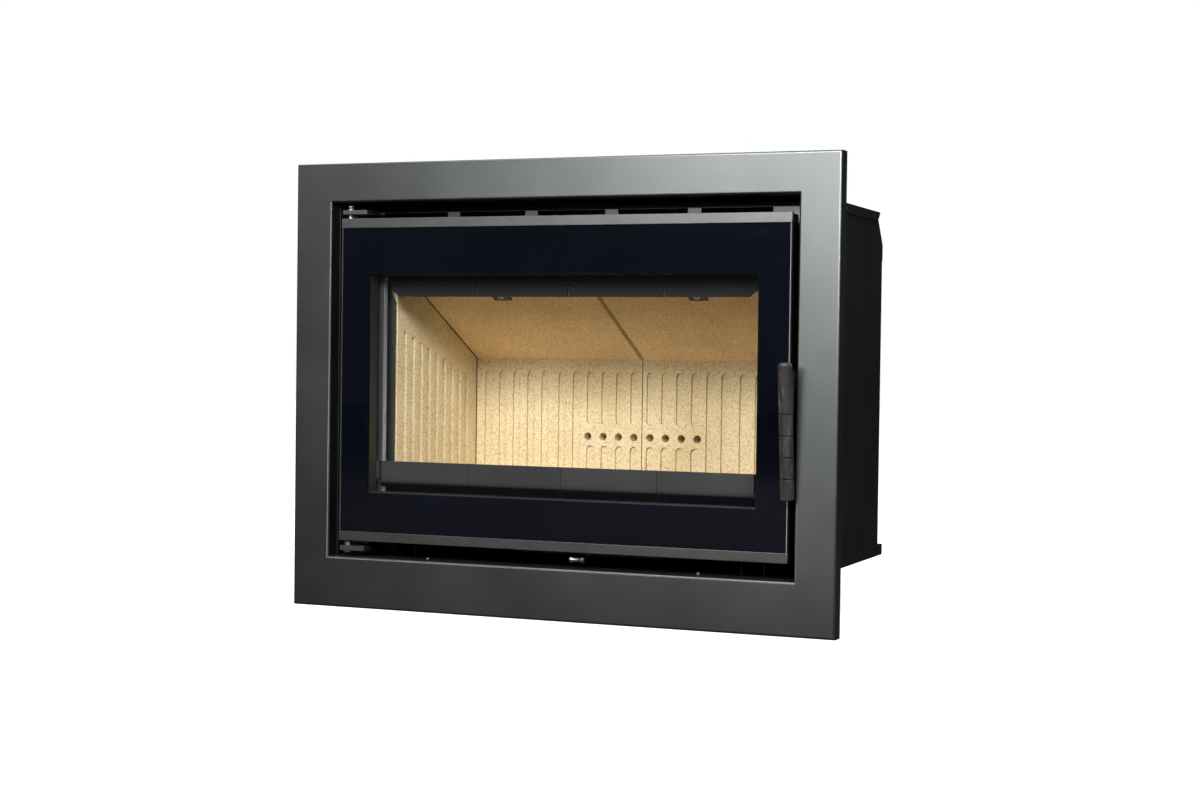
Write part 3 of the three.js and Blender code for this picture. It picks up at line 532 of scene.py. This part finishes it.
def pan_screw(centre, axis, radius, depth=0.0015):
    """A low domed head with a six-lobed socket, standing on centre and facing along axis.

    The dome is a part of an ellipse; the socket's radius is r (1 + 0.14 cos 6a).
    """
    dome, socket, shank = radius * 0.52, radius * 0.4, radius * 0.6
    sweep, full = 1.15, 0.913  # the dome's arc in radians, and its sine
    t = np.linspace(0.0, 1.0, 9) * sweep
    outer = np.column_stack([radius * np.cos(t), dome * np.sin(t) / full])
    top = outer[-1, 1]
    rim = [[socket, top], [socket * 0.96, top - 0.0002]]
    floor = [[socket * 0.9, top - radius * 0.32], [0.0, top - radius * 0.36]]
    skirt = [[0.0, -depth], [shank, -depth], [shank, 0.0], [radius, 0.0]]
    profile = np.array(skirt + outer.tolist() + rim + floor)

    def lobes(angle, r):
        inner = np.arange(len(profile))[:, None] >= len(profile) - len(rim + floor)
        return np.where(inner, r * (1.0 + 0.14 * np.cos(6.0 * angle)), r)

    return turned(profile, 48, axis, centre, lobes)


# ---------------------------------------------------------------- settings
def swatch(name, description, default):
    """A colour that the user can change."""
    return bpy.props.FloatVectorProperty(
        name=name, description=description, default=default, subtype="COLOR"
    )


def length(name, description, default, least=0.0):
    """A length that the user can change."""
    return bpy.props.FloatProperty(
        name=name, description=description, default=default, min=least, unit="LENGTH"
    )


def share(name, description, default, least=0.0):
    """A number from least to 1 that the user can change."""
    return bpy.props.FloatProperty(
        name=name, description=description, default=default, min=least, max=1.0, subtype="FACTOR"
    )


class SurroundSettings(bpy.types.PropertyGroup):
    bend: length("Bend radius", "Outside radius of the folds round the surround", 0.003, 0.001)
    sheet: length("Sheet thickness", "Thickness of the folded sheet", 0.002, 0.001)
    inner_return: length("Inner fold", "Depth of the fold round the door opening", 0.035)
    outer_return: length("Outer fold", "Depth of the fold round the outside", 0.020)
    opening: bpy.props.FloatVectorProperty(
        name="Opening",
        description="Half width, lower edge and upper edge of the door opening",
        default=(0.3005, 0.0027, 0.441),
        unit="LENGTH",
    )
    colour: swatch("Coat colour", "Colour of the satin coat", (0.112, 0.120, 0.114))
    sheen: share("Coat roughness", "How far the coat spreads a reflection", 0.36, 0.05)


class LiningSettings(bpy.types.PropertyGroup):
    board: swatch("Board colour", "Light tone of the wall boards", (0.85, 0.725, 0.47))
    board_deep: swatch("Board shade", "Darker tone of the wall boards", (0.66, 0.52, 0.29))
    # The sloping boards are the walls' board in a lighter colour, painted light that makes up for
    # the little light reaching them.
    baffle: swatch("Baffle colour", "Tone of the sloping boards above the fire", (0.96, 0.74, 0.45))
    fleck: swatch("Fleck colour", "Tone of the dark flakes in the boards", (0.09, 0.055, 0.03))
    edge: length("Groove edge", "Rounding of the routed edges", 0.0007)


class DoorSettings(bpy.types.PropertyGroup):
    window: bpy.props.FloatVectorProperty(
        name="Clear window",
        description="Half width, lower edge and upper edge of the unprinted glass",
        default=(0.2515, 0.0825, 0.3535),
        unit="LENGTH",
    )
    print_colour: swatch("Print colour", "Colour of the glass print", (0.0016, 0.0020, 0.0042))
    clear: share("Glass tint", "Share of light that the clear glass holds back", 0.04)
    trim: swatch("Strip colour", "Colour of the brushed strips", (0.112, 0.115, 0.112))


class MetalSettings(bpy.types.PropertyGroup):
    casing: swatch("Casing colour", "Colour of the casing's paint", (0.0080, 0.0083, 0.0065))
    stove: swatch(
        "Firebox colour", "Paint on the firebox and the door frame", (0.022, 0.022, 0.023)
    )
    guard: swatch("Guard colour", "Paint on the log guard and air deflector", (0.030, 0.030, 0.031))
    handle: swatch("Handle colour", "Colour of the handle and the latch", (0.045, 0.043, 0.040))
    # Pale scaled steel on the mouth's fold: burnt-off paint, and a painted highlight as well.
    bare_and_highlight: swatch("Bare steel", "Scaled steel where the paint has burnt off", (0.26, 0.30, 0.36))
    plated: swatch("Plated colour", "Colour of pins, screws and the air knob", (0.42, 0.41, 0.39))


def lamp_power(name, description, default):
    """Power of one lamp in watts."""
    return bpy.props.FloatProperty(
        name=name, description=description, default=default, unit="POWER"
    )


class StageSettings(bpy.types.PropertyGroup):
    right_power: lamp_power("Right light", "Power of the light on the right", 54.0)
    front_power: lamp_power("Front light", "Power of the light in front", 94.0)
    left_power: lamp_power("Left light", "Power of the low light on the left", 16.0)
    top_power: lamp_power("Top light", "Power of the light above", 55.0)
    room: bpy.props.FloatProperty(
        name="Room light",
        description="Strength of the even light from all round",
        default=0.07,
    )


SETTINGS = {
    "fire_surround": SurroundSettings,
    "fire_lining": LiningSettings,
    "fire_door": DoorSettings,
    "fire_metal": MetalSettings,
    "fire_stage": StageSettings,
}


# ---------------------------------------------------------------- operators
class FIRE_OT_surround(bpy.types.Operator):
    """Folded surround and its two screws in the lower fold"""

    bl_idname = "fire.surround"
    bl_label = "Surround"

    def execute(self, context):
        s = context.scene.fire_surround
        lo, hi = SURROUND_BOX
        outer = (hi.x, lo.z, hi.z)
        inner = tuple(s.opening)
        bend, thin = s.bend, s.bend - s.sheet
        rows = []

        def add(rectangle, points):
            rows.extend([*rectangle, out, FRONT + y] for out, y in points)

        add(inner, [(0.0, s.inner_return), (0.0, s.inner_return * 0.5)])
        add(inner, arc((bend, bend), bend, 180, 270, 9))
        add(outer, arc((-bend, bend), bend, 270, 360, 9))
        add(outer, [(0.0, s.outer_return), (-s.sheet, s.outer_return)])
        add(outer, arc((-bend, bend), thin, 360, 270, 5))
        add(inner, arc((bend, bend), thin, 270, 180, 5))
        add(inner, [(s.sheet, s.inner_return)])
        coat = satin_coat("Satin coat", s.colour, s.sheen)
        faces = grid_faces(len(rows), 4, True, True)
        panel = joined("surround_panel", ring_points(rows), faces, coat, "casing")
        weighted(panel)
        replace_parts(panel, "surround")

        plated = turned_steel("Dull plated screws", toned(context.scene.fire_metal.plated, 0.35))
        for side in ("left", "right"):
            lo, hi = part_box(f"surround_screw_{side}")
            seat = ((lo.x + hi.x) / 2, (lo.y + hi.y) / 2, inner[1] + 0.0003)
            points, faces = pan_screw(seat, (0, 0, 1), (hi.x - lo.x) / 2, 0.006)
            name = f"return_screw_{side}"
            screw = joined(name, points, faces, plated, "casing")
            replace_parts(screw, f"surround_screw_{side}")
        return {"FINISHED"}


class FIRE_OT_casing(bpy.types.Operator):
    """Convection casing: tray, lid, walls, rails, grille, ducts and flue collar"""

    bl_idname = "fire.casing"
    bl_label = "Casing"

    def execute(self, context):
        m = context.scene.fire_metal
        paint = matt_paint("Casing paint", m.casing, rough=0.5, dust=0.35)
        folded = [("casing_base", 0.0005), ("casing_lid", 0.0005), ("rear_spacer_rail", 0.0006)]
        for node, width in folded:
            softened(node, node + "_skin", paint, "casing", width)
        # Above 0.4305 m the grille's top strip is painted black, a painted shadow of the surround's
        # top fold.
        coat = satin_coat("Grille coat", context.scene.fire_surround.colour, 0.4, 0.4305)
        softened("air_grille", "grille_plate", coat, "casing", 0.0003)
        painted(paint, "casing_side_left", "casing_side_right", "casing_back")
        painted(paint, "support_rail_left", "support_rail_right")
        painted(paint, "air_duct_floor", "air_duct_riser", "air_slide_guide")
        self.collar(matt_paint("Collar paint", m.stove, rough=0.6, dust=0.3))
        self.screws(context, paint)
        return {"FINISHED"}

    def collar(self, paint):
        """Flanged collar turned from one section, with a rolled bead below its rim."""
        lo, hi = FLUE_BOX
        centre = (0.0, (lo.y + hi.y) / 2, 0.0)
        flange, bore, wall = (hi.x - lo.x) / 2, 0.075, 0.003
        base, top, plate = lo.z, hi.z, 0.003
        edge, fillet = 0.0006, 0.0025
        bead = arc((bore + wall - 0.0012, top - 0.024), 0.0034, -60, 60, 8)
        foot = (bore + wall + fillet, base + plate + fillet)
        section = [(bore, base), (flange - edge, base), (flange, base + edge)]
        section += [(flange, base + plate - edge), (flange - edge, base + plate)]
        section += arc(foot, fillet, 270, 180, 6).tolist() + bead.tolist()
        section += [(bore + wall, top - edge), (bore + wall - edge, top)]
        section += [(bore + edge, top), (bore, top - edge)]
        profile = np.array(section + [section[0]])
        points, faces = turned(profile, 96, (0, 0, 1), centre)
        collar = joined("flue_socket", points, faces, paint, "casing")
        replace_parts(weighted(collar), "flue_collar")

    def screws(self, context, paint):
        """Small screws that hold the lid and the tray to the casing's walls."""
        lo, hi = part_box("casing_lid")
        base_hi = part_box("casing_base")[1]
        lid_margin, tray_margin = 0.0048, 0.0040  # from the folds' free edges
        shapes = []
        for side in (-1, 1):
            seats = [(side * hi.x, y, lo.z + lid_margin) for y in LID_ROW]
            seats += [(side * base_hi.x, y, base_hi.z - tray_margin) for y in TRAY_ROW]
            shapes += [pan_screw(seat, (side, 0, 0), SMALL_HEAD) for seat in seats]
        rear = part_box("rear_spacer_rail")[1].y
        seats = [(x, rear, REAR_HEIGHT) for x in REAR_ROW]
        shapes += [pan_screw(seat, (0, 1, 0), SMALL_HEAD) for seat in seats]
        points, faces = gathered(shapes)
        joined("casing_screws", points, faces, paint, "casing")


class FIRE_OT_firebox(bpy.types.Operator):
    """Firebox shell and front plate"""

    bl_idname = "fire.firebox"
    bl_label = "Firebox"

    def execute(self, context):
        m = context.scene.fire_metal
        paint = matt_paint("Firebox paint", m.stove, rough=0.55, dust=0.3)
        painted(paint, "firebox_shell", "baffle_bar")
        # The mouth's folds show pale bare steel, partly wear and partly a painted highlight.
        fold = worn_fold("Front plate paint", m.stove, m.bare_and_highlight, MOUTH_HALF, MOUTH_HEIGHTS)
        softened("firebox_front", "front_plate", fold, "casing", 0.0006)
        for side in ("left", "right"):
            node = f"board_retainer_{side}"
            softened(node, f"retainer_{side}", paint, "casing", 0.0004)
        return {"FINISHED"}


class FIRE_OT_lining(bpy.types.Operator):
    """Fire-board lining with its routed grooves, baffle, clips and screws"""

    bl_idname = "fire.lining"
    bl_label = "Lining"

    def execute(self, context):
        s = context.scene.fire_lining
        m = context.scene.fire_metal
        wall = fire_board("Wall board", s.board, s.board_deep, s.fleck)
        # painted light: the baffle is the wall board made lighter, since little light reaches it
        baffle = fire_board("Baffle board", s.baffle, toned(s.baffle, 0.75), s.fleck)
        dark = cast_satin("Clip steel", toned(m.handle, 0.25), m.handle)
        plated = turned_steel("Clip screws", m.plated)
        kinds = [("back", wall, BOARD_END), ("side", wall, 1.0), ("floor", wall, 1.0)]
        kinds += [("baffle", baffle, BOARD_END)]
        for side in ("left", "right"):
            for kind, finish, reach in kinds:
                node = f"{kind}_board_{side}"
                name = f"{kind}_lining_{side}"
                softened(node, name, finish, "casing", s.edge, reach=reach)
            clip = f"baffle_clip_{side}"
            softened(clip, f"clip_{side}", dark, "casing", 0.0005)
            self.screw(side, plated)
        return {"FINISHED"}

    def screw(self, side, finish):
        """Pan screw under the clip, square to the baffle's slope."""
        lo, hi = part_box(f"baffle_screw_{side}")
        slope = math.atan(BAFFLE_RISE)
        axis = Vector((0.0, -math.sin(slope), -math.cos(slope)))
        centre = (lo + hi) / 2 - axis * 0.0004
        points, faces = pan_screw(centre, axis, 0.0038, 0.002)
        screw = joined(f"clip_screw_{side}", points, faces, finish, "casing")
        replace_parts(screw, f"baffle_screw_{side}")


class FIRE_OT_guard(bpy.types.Operator):
    """Log guard and the air deflector above the window"""

    bl_idname = "fire.guard"
    bl_label = "Log guard"

    def execute(self, context):
        m = context.scene.fire_metal
        # Below about 0.09 m the guard turns black, a painted shadow of the glass print's lower
        # edge.
        finish = matt_paint("Guard paint", m.guard, 0.5, 0.25, 0.3, GUARD_PAINTED_SHADOW)
        softened("log_guard", "guard_strip", finish, "casing", 0.00012)
        # The deflector's paint is the guard's at 0.22 of its brightness, painted shade for the
        # shadow under the window's top edge; above 0.3295 m it turns fully black, painted shade
        # too.
        painted_shade = toned(m.guard, 0.22)
        dark = matt_paint("Deflector paint", painted_shade, 0.8, 0.1, 0.0, DEFLECTOR_PAINTED_SHADE)
        softened("air_deflector", "deflector_strip", dark, "casing", 0.0004)
        return {"FINISHED"}


class FIRE_OT_door(bpy.types.Operator):
    """Door frame, printed glass, brushed strips and the two seals"""

    bl_idname = "fire.door"
    bl_label = "Door"

    def execute(self, context):
        s = context.scene.fire_door
        m = context.scene.fire_metal
        # The door frame has the firebox's paint at 0.45 of its brightness, painted shade for its
        # recessed inner faces.
        paint = matt_paint("Door paint", toned(m.stove, 0.45), rough=0.5, dust=0.2)
        softened("door_frame", "door_rails", paint, "door", 0.0005)
        self.pane(s)
        steel = brushed_steel("Brushed strip", s.trim, "X", 0.38)
        for end in ("top", "bottom"):
            node = f"trim_{end}"
            softened(node, f"strip_{end}", steel, "door", 0.0004, 3)
        rope = braided_rope("Glass-fibre rope", (0.11, 0.11, 0.105))
        self.rope_seal(rope)
        self.tape_seal(rope)
        return {"FINISHED"}

    def pane(self, s):
        """Pane with ground edges: stacked rectangles (inset, y) joined by faces and two caps."""
        lo, hi = PANE_BOX
        ground = 0.0007
        layers = [(ground, lo.y), (0.0, lo.y + ground), (0.0, hi.y - ground), (ground, hi.y)]
        points = []
        for inset, y in layers:
            x0, x1 = lo.x + inset, hi.x - inset
            z0, z1 = lo.z + inset, hi.z - inset
            points += [(x0, y, z0), (x1, y, z0), (x1, y, z1), (x0, y, z1)]
        faces = grid_faces(4, 4, False, True).tolist() + [[3, 2, 1, 0], [12, 13, 14, 15]]
        edge = hi.x - 0.0006
        finish = printed_glass("Printed glass", *s.window, s.print_colour, s.clear, edge)
        pane = joined("door_pane", points, faces, finish, "door", 20.0)
        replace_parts(weighted(pane), "door_glass")

    def track(self, half, low, high, radius, step):
        """Points and inward normals round a rectangle with rounded corners, by distance."""
        straight = [half * 2 - radius * 2, high - low - radius * 2]
        quarter = math.pi * radius / 2
        total = 2 * sum(straight) + 4 * quarter
        count = int(total / step)
        s = np.arange(count) * total / count
        x, z = np.empty(count), np.empty(count)
        nx, nz = np.empty(count), np.empty(count)
        start = 0.0
        corners = [(half - radius, low + radius), (half - radius, high - radius)]
        corners += [(-half + radius, high - radius), (-half + radius, low + radius)]
        for side in range(4):
            length = straight[side % 2]
            ahead = side * math.pi / 2
            out = ahead - math.pi / 2
            cx, cz = corners[side]
            on = (s >= start) & (s < start + length)
            back = start + length - s[on]
            x[on] = cx + radius * math.cos(out) - back * math.cos(ahead)
            z[on] = cz + radius * math.sin(out) - back * math.sin(ahead)
            nx[on], nz[on] = math.cos(out), math.sin(out)
            start += length
            on = (s >= start) & (s < start + quarter)
            turn = out + (s[on] - start) / radius
            x[on], z[on] = cx + radius * np.cos(turn), cz + radius * np.sin(turn)
            nx[on], nz[on] = np.cos(turn), np.sin(turn)
            start += quarter
        return s, x, z, nx, nz

    def rope_seal(self, finish):
        """Braided rope pressed into the frame's channel.

        Round the track: radius 5.6 mm (1 + 0.05 sin(ks + 3a) sin(ks - 3a)), flattened where it
        meets the channel's floor and the firebox.
        """
        lo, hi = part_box("door_seal")
        side, radius, relief = 0.0052, 0.0056, 0.05
        lay = 0.012  # length of one turn of the braid
        half, low, high = hi.x - side, lo.z + side, hi.z - side
        s, x, z, nx, nz = self.track(half, low, high, radius=0.008, step=0.0016)
        a = np.linspace(0, 2 * np.pi, 20, endpoint=False)[None, :]
        turns = round(s[-1] / lay)
        k = 2 * np.pi * turns / (s[-1] + s[1])
        wave = np.sin(k * s[:, None] + 3 * a) * np.sin(k * s[:, None] - 3 * a)
        r = radius * (1 + relief * wave)
        out = np.clip(r * np.cos(a), -side, side)
        y = np.clip((lo.y + hi.y) / 2 + 1.15 * r * np.sin(a), lo.y, hi.y)
        points = [x[:, None] + nx[:, None] * out, y, z[:, None] + nz[:, None] * out]
        points = np.stack(points, -1).reshape(-1, 3)
        along = np.repeat(s[:, None] * k * 2, a.shape[1], 1)
        around = np.repeat(a * 6, len(s), 0)
        uv = np.stack([along, around], -1).reshape(-1, 2)
        faces = grid_faces(len(s), a.shape[1], True, True)[:, ::-1]
        seal = joined("rope_seal", points, faces, finish, "door", 80.0, uv)
        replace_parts(seal, "door_seal")

    def tape_seal(self, finish):
        """Flat woven tape behind the pane: a rounded slot section round the window."""
        lo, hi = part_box("glass_seal")
        side, sides = 0.0035, 12
        half, low, high = hi.x - side, lo.z + side, hi.z - side
        s, x, z, nx, nz = self.track(half, low, high, radius=0.006, step=0.0025)
        a = np.linspace(0, 2 * np.pi, sides, endpoint=False)[None, :]
        flat = np.sign(np.cos(a)) * np.abs(np.cos(a)) ** 0.4 * side
        thick = (hi.y - lo.y) / 2
        deep = np.sign(np.sin(a)) * np.abs(np.sin(a)) ** 0.6 * thick
        deep = deep * (1 - 0.06 * (1 + np.sin(900 * s[:, None] + 2 * a)))
        points = [
            x[:, None] + nx[:, None] * flat,
            (lo.y + hi.y) / 2 + deep,
            z[:, None] + nz[:, None] * flat,
        ]
        points = np.stack(points, -1).reshape(-1, 3)
        uv = [np.repeat(s[:, None] * 2400, sides, 1), np.repeat(a * 5, len(s), 0)]
        uv = np.stack(uv, -1).reshape(-1, 2)
        faces = grid_faces(len(s), sides, True, True)[:, ::-1]
        seal = joined("tape_seal", points, faces, finish, "door", 80.0, uv)
        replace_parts(seal, "glass_seal")


class FIRE_OT_hinges(bpy.types.Operator):
    """Hinge brackets and their turned pins"""

    bl_idname = "fire.hinges"
    bl_label = "Hinges"

    def execute(self, context):
        m = context.scene.fire_metal
        steel = brushed_steel("Bracket steel", toned(m.plated, 0.3), "Y", 0.4)
        plated = turned_steel("Pin steel", m.plated)
        for end in ("top", "bottom"):
            node = f"hinge_bracket_{end}"
            softened(node, f"bracket_{end}", steel, "casing", 0.0006, 3)
        lo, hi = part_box("hinge_pin_top")
        centre = ((lo.x + hi.x) / 2, (lo.y + hi.y) / 2, 0.0)
        top, seat, head, pin = hi.z, hi.z - 0.006, 0.005, 0.004
        profile = [(0, lo.z), (pin - 0.001, lo.z), (pin, lo.z + 0.001), (pin, seat)]
        profile += [(head - 0.0003, seat), (head, seat + 0.0003), (head, seat + 0.0014)]
        profile += [(head - 0.0004, seat + 0.0018), (0.0032, seat + 0.002)]
        profile += arc((0.0036, seat + 0.0027), 0.0007, 250, 110, 6).tolist()
        profile += [(0.0042, seat + 0.0035), (0.0046, seat + 0.0039)]
        profile += arc((0.0032, top - 0.0014), 0.0014, 0, 90, 6).tolist()
        profile += [(0.0014, top), (0.0009, top - 0.0005), (0, top - 0.0006)]
        self.turn("hinge_pin_top", "pivot_pin_top", profile, centre, plated)
        lo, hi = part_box("hinge_pin_bottom")
        nut, bracket, collar = lo.z + 0.0032, 0.0163, 0.0217
        profile = [(0, lo.z), (0.005, lo.z), (0.0055, lo.z + 0.0005), (0.0055, nut - 0.0005)]
        profile += [(0.005, nut), (pin, nut), (pin, bracket), (0.0047, bracket)]
        profile += [(0.0052, bracket + 0.0005), (0.0052, collar - 0.0005), (0.0047, collar)]
        profile += [(pin, collar), (pin, hi.z - 0.001), (pin - 0.001, hi.z), (0, hi.z)]
        self.turn("hinge_pin_bottom", "pivot_pin_bottom", profile, centre, plated)
        return {"FINISHED"}

    def turn(self, node, name, profile, centre, finish):
        points, faces = turned(profile, 48, (0, 0, 1), centre)
        pin = joined(name, points, faces, finish, "door")
        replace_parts(weighted(pin), node)


class FIRE_OT_latch(bpy.types.Operator):
    """Grip bar, latch arm, its pivot and the keeper"""

    bl_idname = "fire.latch"
    bl_label = "Latch and handle"

    def execute(self, context):
        m = context.scene.fire_metal
        # The polish colour, four times the handle's, paints the grip's highlight streaks as well as
        # its polished wear.
        satin = cast_satin("Handle steel", m.handle, toned(m.handle, 4.0))
        softened("latch_arm", "latch_lever", satin, "handle", 0.0005, 3)
        steel = brushed_steel("Keeper steel", m.plated, "X", 0.4)
        softened("latch_keeper", "keeper", steel, "casing", 0.0004)
        self.bar(satin)
        self.pivot(turned_steel("Pivot steel", m.plated))
        return {"FINISHED"}

    def bar(self, finish):
        """Grip turned from r(h): a plain barrel, four grooves with rounded lips, chamfered ends."""
        lean = math.atan2(BAR_LEAN, BAR_HEIGHT)
        length = math.hypot(BAR_LEAN, BAR_HEIGHT)
        half, radius, plain, round_end = length / 2, 0.008, 0.057, 0.0016
        pitch = (length - plain) / 4
        lip, deep, wide = 0.0004, 0.0024, 0.0007
        profile = [(0.0, -half), (radius - round_end, -half)]
        profile += arc((radius - round_end, -half + round_end), round_end, 270, 360, 5).tolist()
        for ring in range(1, 5):
            h = -half + pitch * ring
            profile += arc((radius - lip, h - wide - lip), lip, 0, 80, 4).tolist()
            profile += [(radius - deep, h - wide * 0.7), (radius - deep, h + wide * 0.7)]
            profile += arc((radius - lip, h + wide + lip), lip, -80, 0, 4).tolist()
        profile += [(radius, half - 0.0022), (radius - 0.0018, half - 0.0002)]
        profile += [(radius - 0.0022, half), (0.0, half)]
        lo, hi = BAR_BOX
        centre = ((lo.x + hi.x) / 2, *BAR_MIDDLE)
        axis = (0.0, -math.sin(lean), math.cos(lean))
        points, faces = turned(profile, 72, axis, centre)
        bar = joined("grip_bar", points, faces, finish, "handle")
        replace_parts(weighted(bar), "handle_bar")

    def pivot(self, finish):
        """Shouldered pivot turned along X."""
        lo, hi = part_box("latch_pivot")
        near, far = lo.x, hi.x
        centre = (0.0, (lo.y + hi.y) / 2, (lo.z + hi.z) / 2)
        profile = [(0, near), (0.007, near), (0.007, near + 0.001), (0.0067, near + 0.0013)]
        profile += [(0.004, near + 0.0013), (0.004, far - 0.0012), (0.0065, far - 0.0012)]
        profile += [(0.0065, far - 0.0006), (0.0055, far), (0.002, far), (0.0015, far - 0.0004)]
        profile += [(0, far - 0.0004)]
        points, faces = turned(profile, 48, (1, 0, 0), centre)
        pivot = joined("lever_pivot", points, faces, finish, "door")
        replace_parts(weighted(pivot), "latch_pivot")


class FIRE_OT_air_control(bpy.types.Operator):
    """Air slide and its spool-shaped knob"""

    bl_idname = "fire.air_control"
    bl_label = "Air control"

    def execute(self, context):
        m = context.scene.fire_metal
        plated = turned_steel("Air control steel", toned(m.plated, 0.55))
        blade = turned_steel("Slide steel", toned(m.plated, 0.08))
        softened("air_slide", "slide_blade", blade, "air_control", 0.0003)
        lo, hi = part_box("air_knob")
        radius, near, far = (hi.z - lo.z) / 2, lo.x, hi.x
        t = np.linspace(0.0, 1.0, 13)
        waist = radius - 0.0011 * np.sin(np.pi * t) ** 0.6
        middle = np.column_stack([waist, near + 0.003 + t * (far - near - 0.006)])
        profile = [(0, near), (radius - 0.0007, near), (radius, near + 0.0007)]
        profile += middle.tolist()
        profile += [(radius, far - 0.0007), (radius - 0.0007, far), (0, far)]
        centre = (0.0, (lo.y + hi.y) / 2, (lo.z + hi.z) / 2)
        points, faces = turned(profile, 48, (1, 0, 0), centre)
        knob = joined("slide_knob", points, faces, plated, "air_control")
        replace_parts(weighted(knob), "air_knob")
        return {"FINISHED"}


class FIRE_OT_stage(bpy.types.Operator):
    """Camera, floor, room light and lamps"""

    bl_idname = "fire.stage"
    bl_label = "Stage"

    def execute(self, context):
        s = context.scene.fire_stage
        self.camera(context)
        self.floor()
        self.room(context, s.room)
        lamps = [("Right light", (1.99, -1.87, 1.19), (1.2, 0.6), s.right_power)]
        lamps += [("Front light", (0.10, -2.90, 1.56), (1.1, 0.65), s.front_power)]
        lamps += [("Left light", (-0.55, -2.90, 0.87), (0.9, 0.42), s.left_power)]
        lamps += [("Top light", (-0.10, -0.90, 2.30), (2.4, 1.5), s.top_power)]
        for lamp in lamps:
            self.lamp(context, *lamp)
        context.scene.view_settings.view_transform = "Standard"
        return {"FINISHED"}

    def camera(self, context):
        """Camera solved from the object's corners in the photograph."""
        yaw, pitch, roll = (math.radians(v) for v in CAMERA_TURNS)
        ahead = Vector((-math.sin(yaw), math.cos(yaw), 0.0))
        right = Vector((math.cos(yaw), math.sin(yaw), 0.0))
        up = Vector((0.0, 0.0, 1.0))
        look = ahead * math.cos(pitch) + up * math.sin(pitch)
        rise = up * math.cos(pitch) - ahead * math.sin(pitch)
        side = right * math.cos(roll) + rise * math.sin(roll)
        rise = rise * math.cos(roll) - right * math.sin(roll)
        data = bpy.data.cameras.new("Camera")
        data.sensor_width = SENSOR
        data.lens = FOCAL_PIXELS * SENSOR / PICTURE_WIDTH
        camera = bpy.data.objects.new("Camera", data)
        turn = Matrix((side, rise, -look)).transposed().to_4x4()
        camera.matrix_world = Matrix.Translation(CAMERA_PLACE) @ turn
        context.scene.collection.objects.link(camera)
        context.scene.camera = camera

    def floor(self):
        """Pale floor that the camera sees as white, with the object's soft shadow."""
        g = Graph("Floor")
        grey = g.node("ShaderNodeBsdfDiffuse", {}, {"Color": (0.05, 0.05, 0.05, 1.0)})
        pale = g.node("ShaderNodeBsdfDiffuse", {}, {"Color": (0.80, 0.80, 0.80, 1.0)})
        away = g.node("ShaderNodeVectorMath", {"operation": "LENGTH"}, [g.place], "Value")
        glow = g.node("ShaderNodeEmission", {}, {"Strength": 0.80 + away.ramp(0.7, 1.6) * 0.3})
        white = g.node("ShaderNodeAddShader", {}, [pale, glow])
        seen = g.node("ShaderNodeLightPath", {}, {}, "Is Camera Ray")
        face = g.node("ShaderNodeMixShader", {}, [seen, grey, white])
        behind = g.node("ShaderNodeNewGeometry", {}, {}, "Backfacing")
        clear = g.node("ShaderNodeBsdfTransparent", {}, {})
        finish = g.finish(g.node("ShaderNodeMixShader", {}, [behind, face, clear]))
        far, z = 9.0, CAD_BOX[0][2] - 0.0005  # half its width; just under the object
        mesh = bpy.data.meshes.new("floor")
        corners = [(-far, -far, z), (far, -far, z), (far, far, z), (-far, far, z)]
        mesh.from_pydata(corners, [], [(0, 1, 2, 3)])
        mesh.materials.append(finish)
        floor = bpy.data.objects.new("floor", mesh)
        bpy.context.scene.collection.objects.link(floor)

    def room(self, context, strength):
        """White to the camera; to the object an even room that is darker towards the horizon."""
        g = Graph("Room", world=True)
        way = g.node("ShaderNodeTexCoord", {}, {}, "Generated")
        height = g.axis("Z", way)
        level = height.ramp(-0.2, 0.9)
        tone = g.blend(level, (0.55, 0.56, 0.57), (1.0, 1.0, 1.0))
        soft = g.node("ShaderNodeBackground", {}, {"Color": tone, "Strength": strength})
        white = g.node("ShaderNodeBackground", {}, {"Strength": 1.0})
        white.socket.node.inputs["Color"].default_value = (1.0, 1.0, 1.0, 1.0)
        seen = g.node("ShaderNodeLightPath", {}, {}, "Is Camera Ray")
        context.scene.world = g.finish(g.node("ShaderNodeMixShader", {}, [seen, soft, white]))

    def lamp(self, context, name, place, size, power):
        data = bpy.data.lights.new(name, "AREA")
        data.shape = "RECTANGLE"
        data.size, data.size_y = size
        data.energy = power
        lamp = bpy.data.objects.new(name, data)
        lamp.location = place
        facing = Vector(AIM) - Vector(place)
        lamp.rotation_euler = facing.to_track_quat("-Z", "Y").to_euler()
        context.scene.collection.objects.link(lamp)


OPERATORS = (
    FIRE_OT_surround,
    FIRE_OT_casing,
    FIRE_OT_firebox,
    FIRE_OT_lining,
    FIRE_OT_guard,
    FIRE_OT_door,
    FIRE_OT_hinges,
    FIRE_OT_latch,
    FIRE_OT_air_control,
    FIRE_OT_stage,
)


class FIRE_PT_sidebar(bpy.types.Panel):
    """The pieces in the order in which they are made, and their settings"""

    bl_idname = "FIRE_PT_sidebar"
    bl_label = "Inset Fireplace"
    bl_space_type = "VIEW_3D"
    bl_region_type = "UI"
    bl_category = "Fireplace"

    def draw(self, context):
        for operator in OPERATORS:
            self.layout.operator(operator.bl_idname)
        for name, group in SETTINGS.items():
            box = self.layout.box()
            for key in group.__annotations__:
                box.prop(getattr(context.scene, name), key)


def register():
    for group in SETTINGS.values():
        bpy.utils.register_class(group)
    for name, group in SETTINGS.items():
        setattr(bpy.types.Scene, name, bpy.props.PointerProperty(type=group))
    for cls in (*OPERATORS, FIRE_PT_sidebar):
        bpy.utils.register_class(cls)


def unregister():
    for cls in reversed((*OPERATORS, FIRE_PT_sidebar)):
        bpy.utils.unregister_class(cls)
    for name in SETTINGS:
        delattr(bpy.types.Scene, name)
    for group in SETTINGS.values():
        bpy.utils.unregister_class(group)


def main():
    register()
    for operator in OPERATORS:
        group, name = operator.bl_idname.split(".")
        getattr(getattr(bpy.ops, group), name)()


if __name__ == "__main__":
    main()
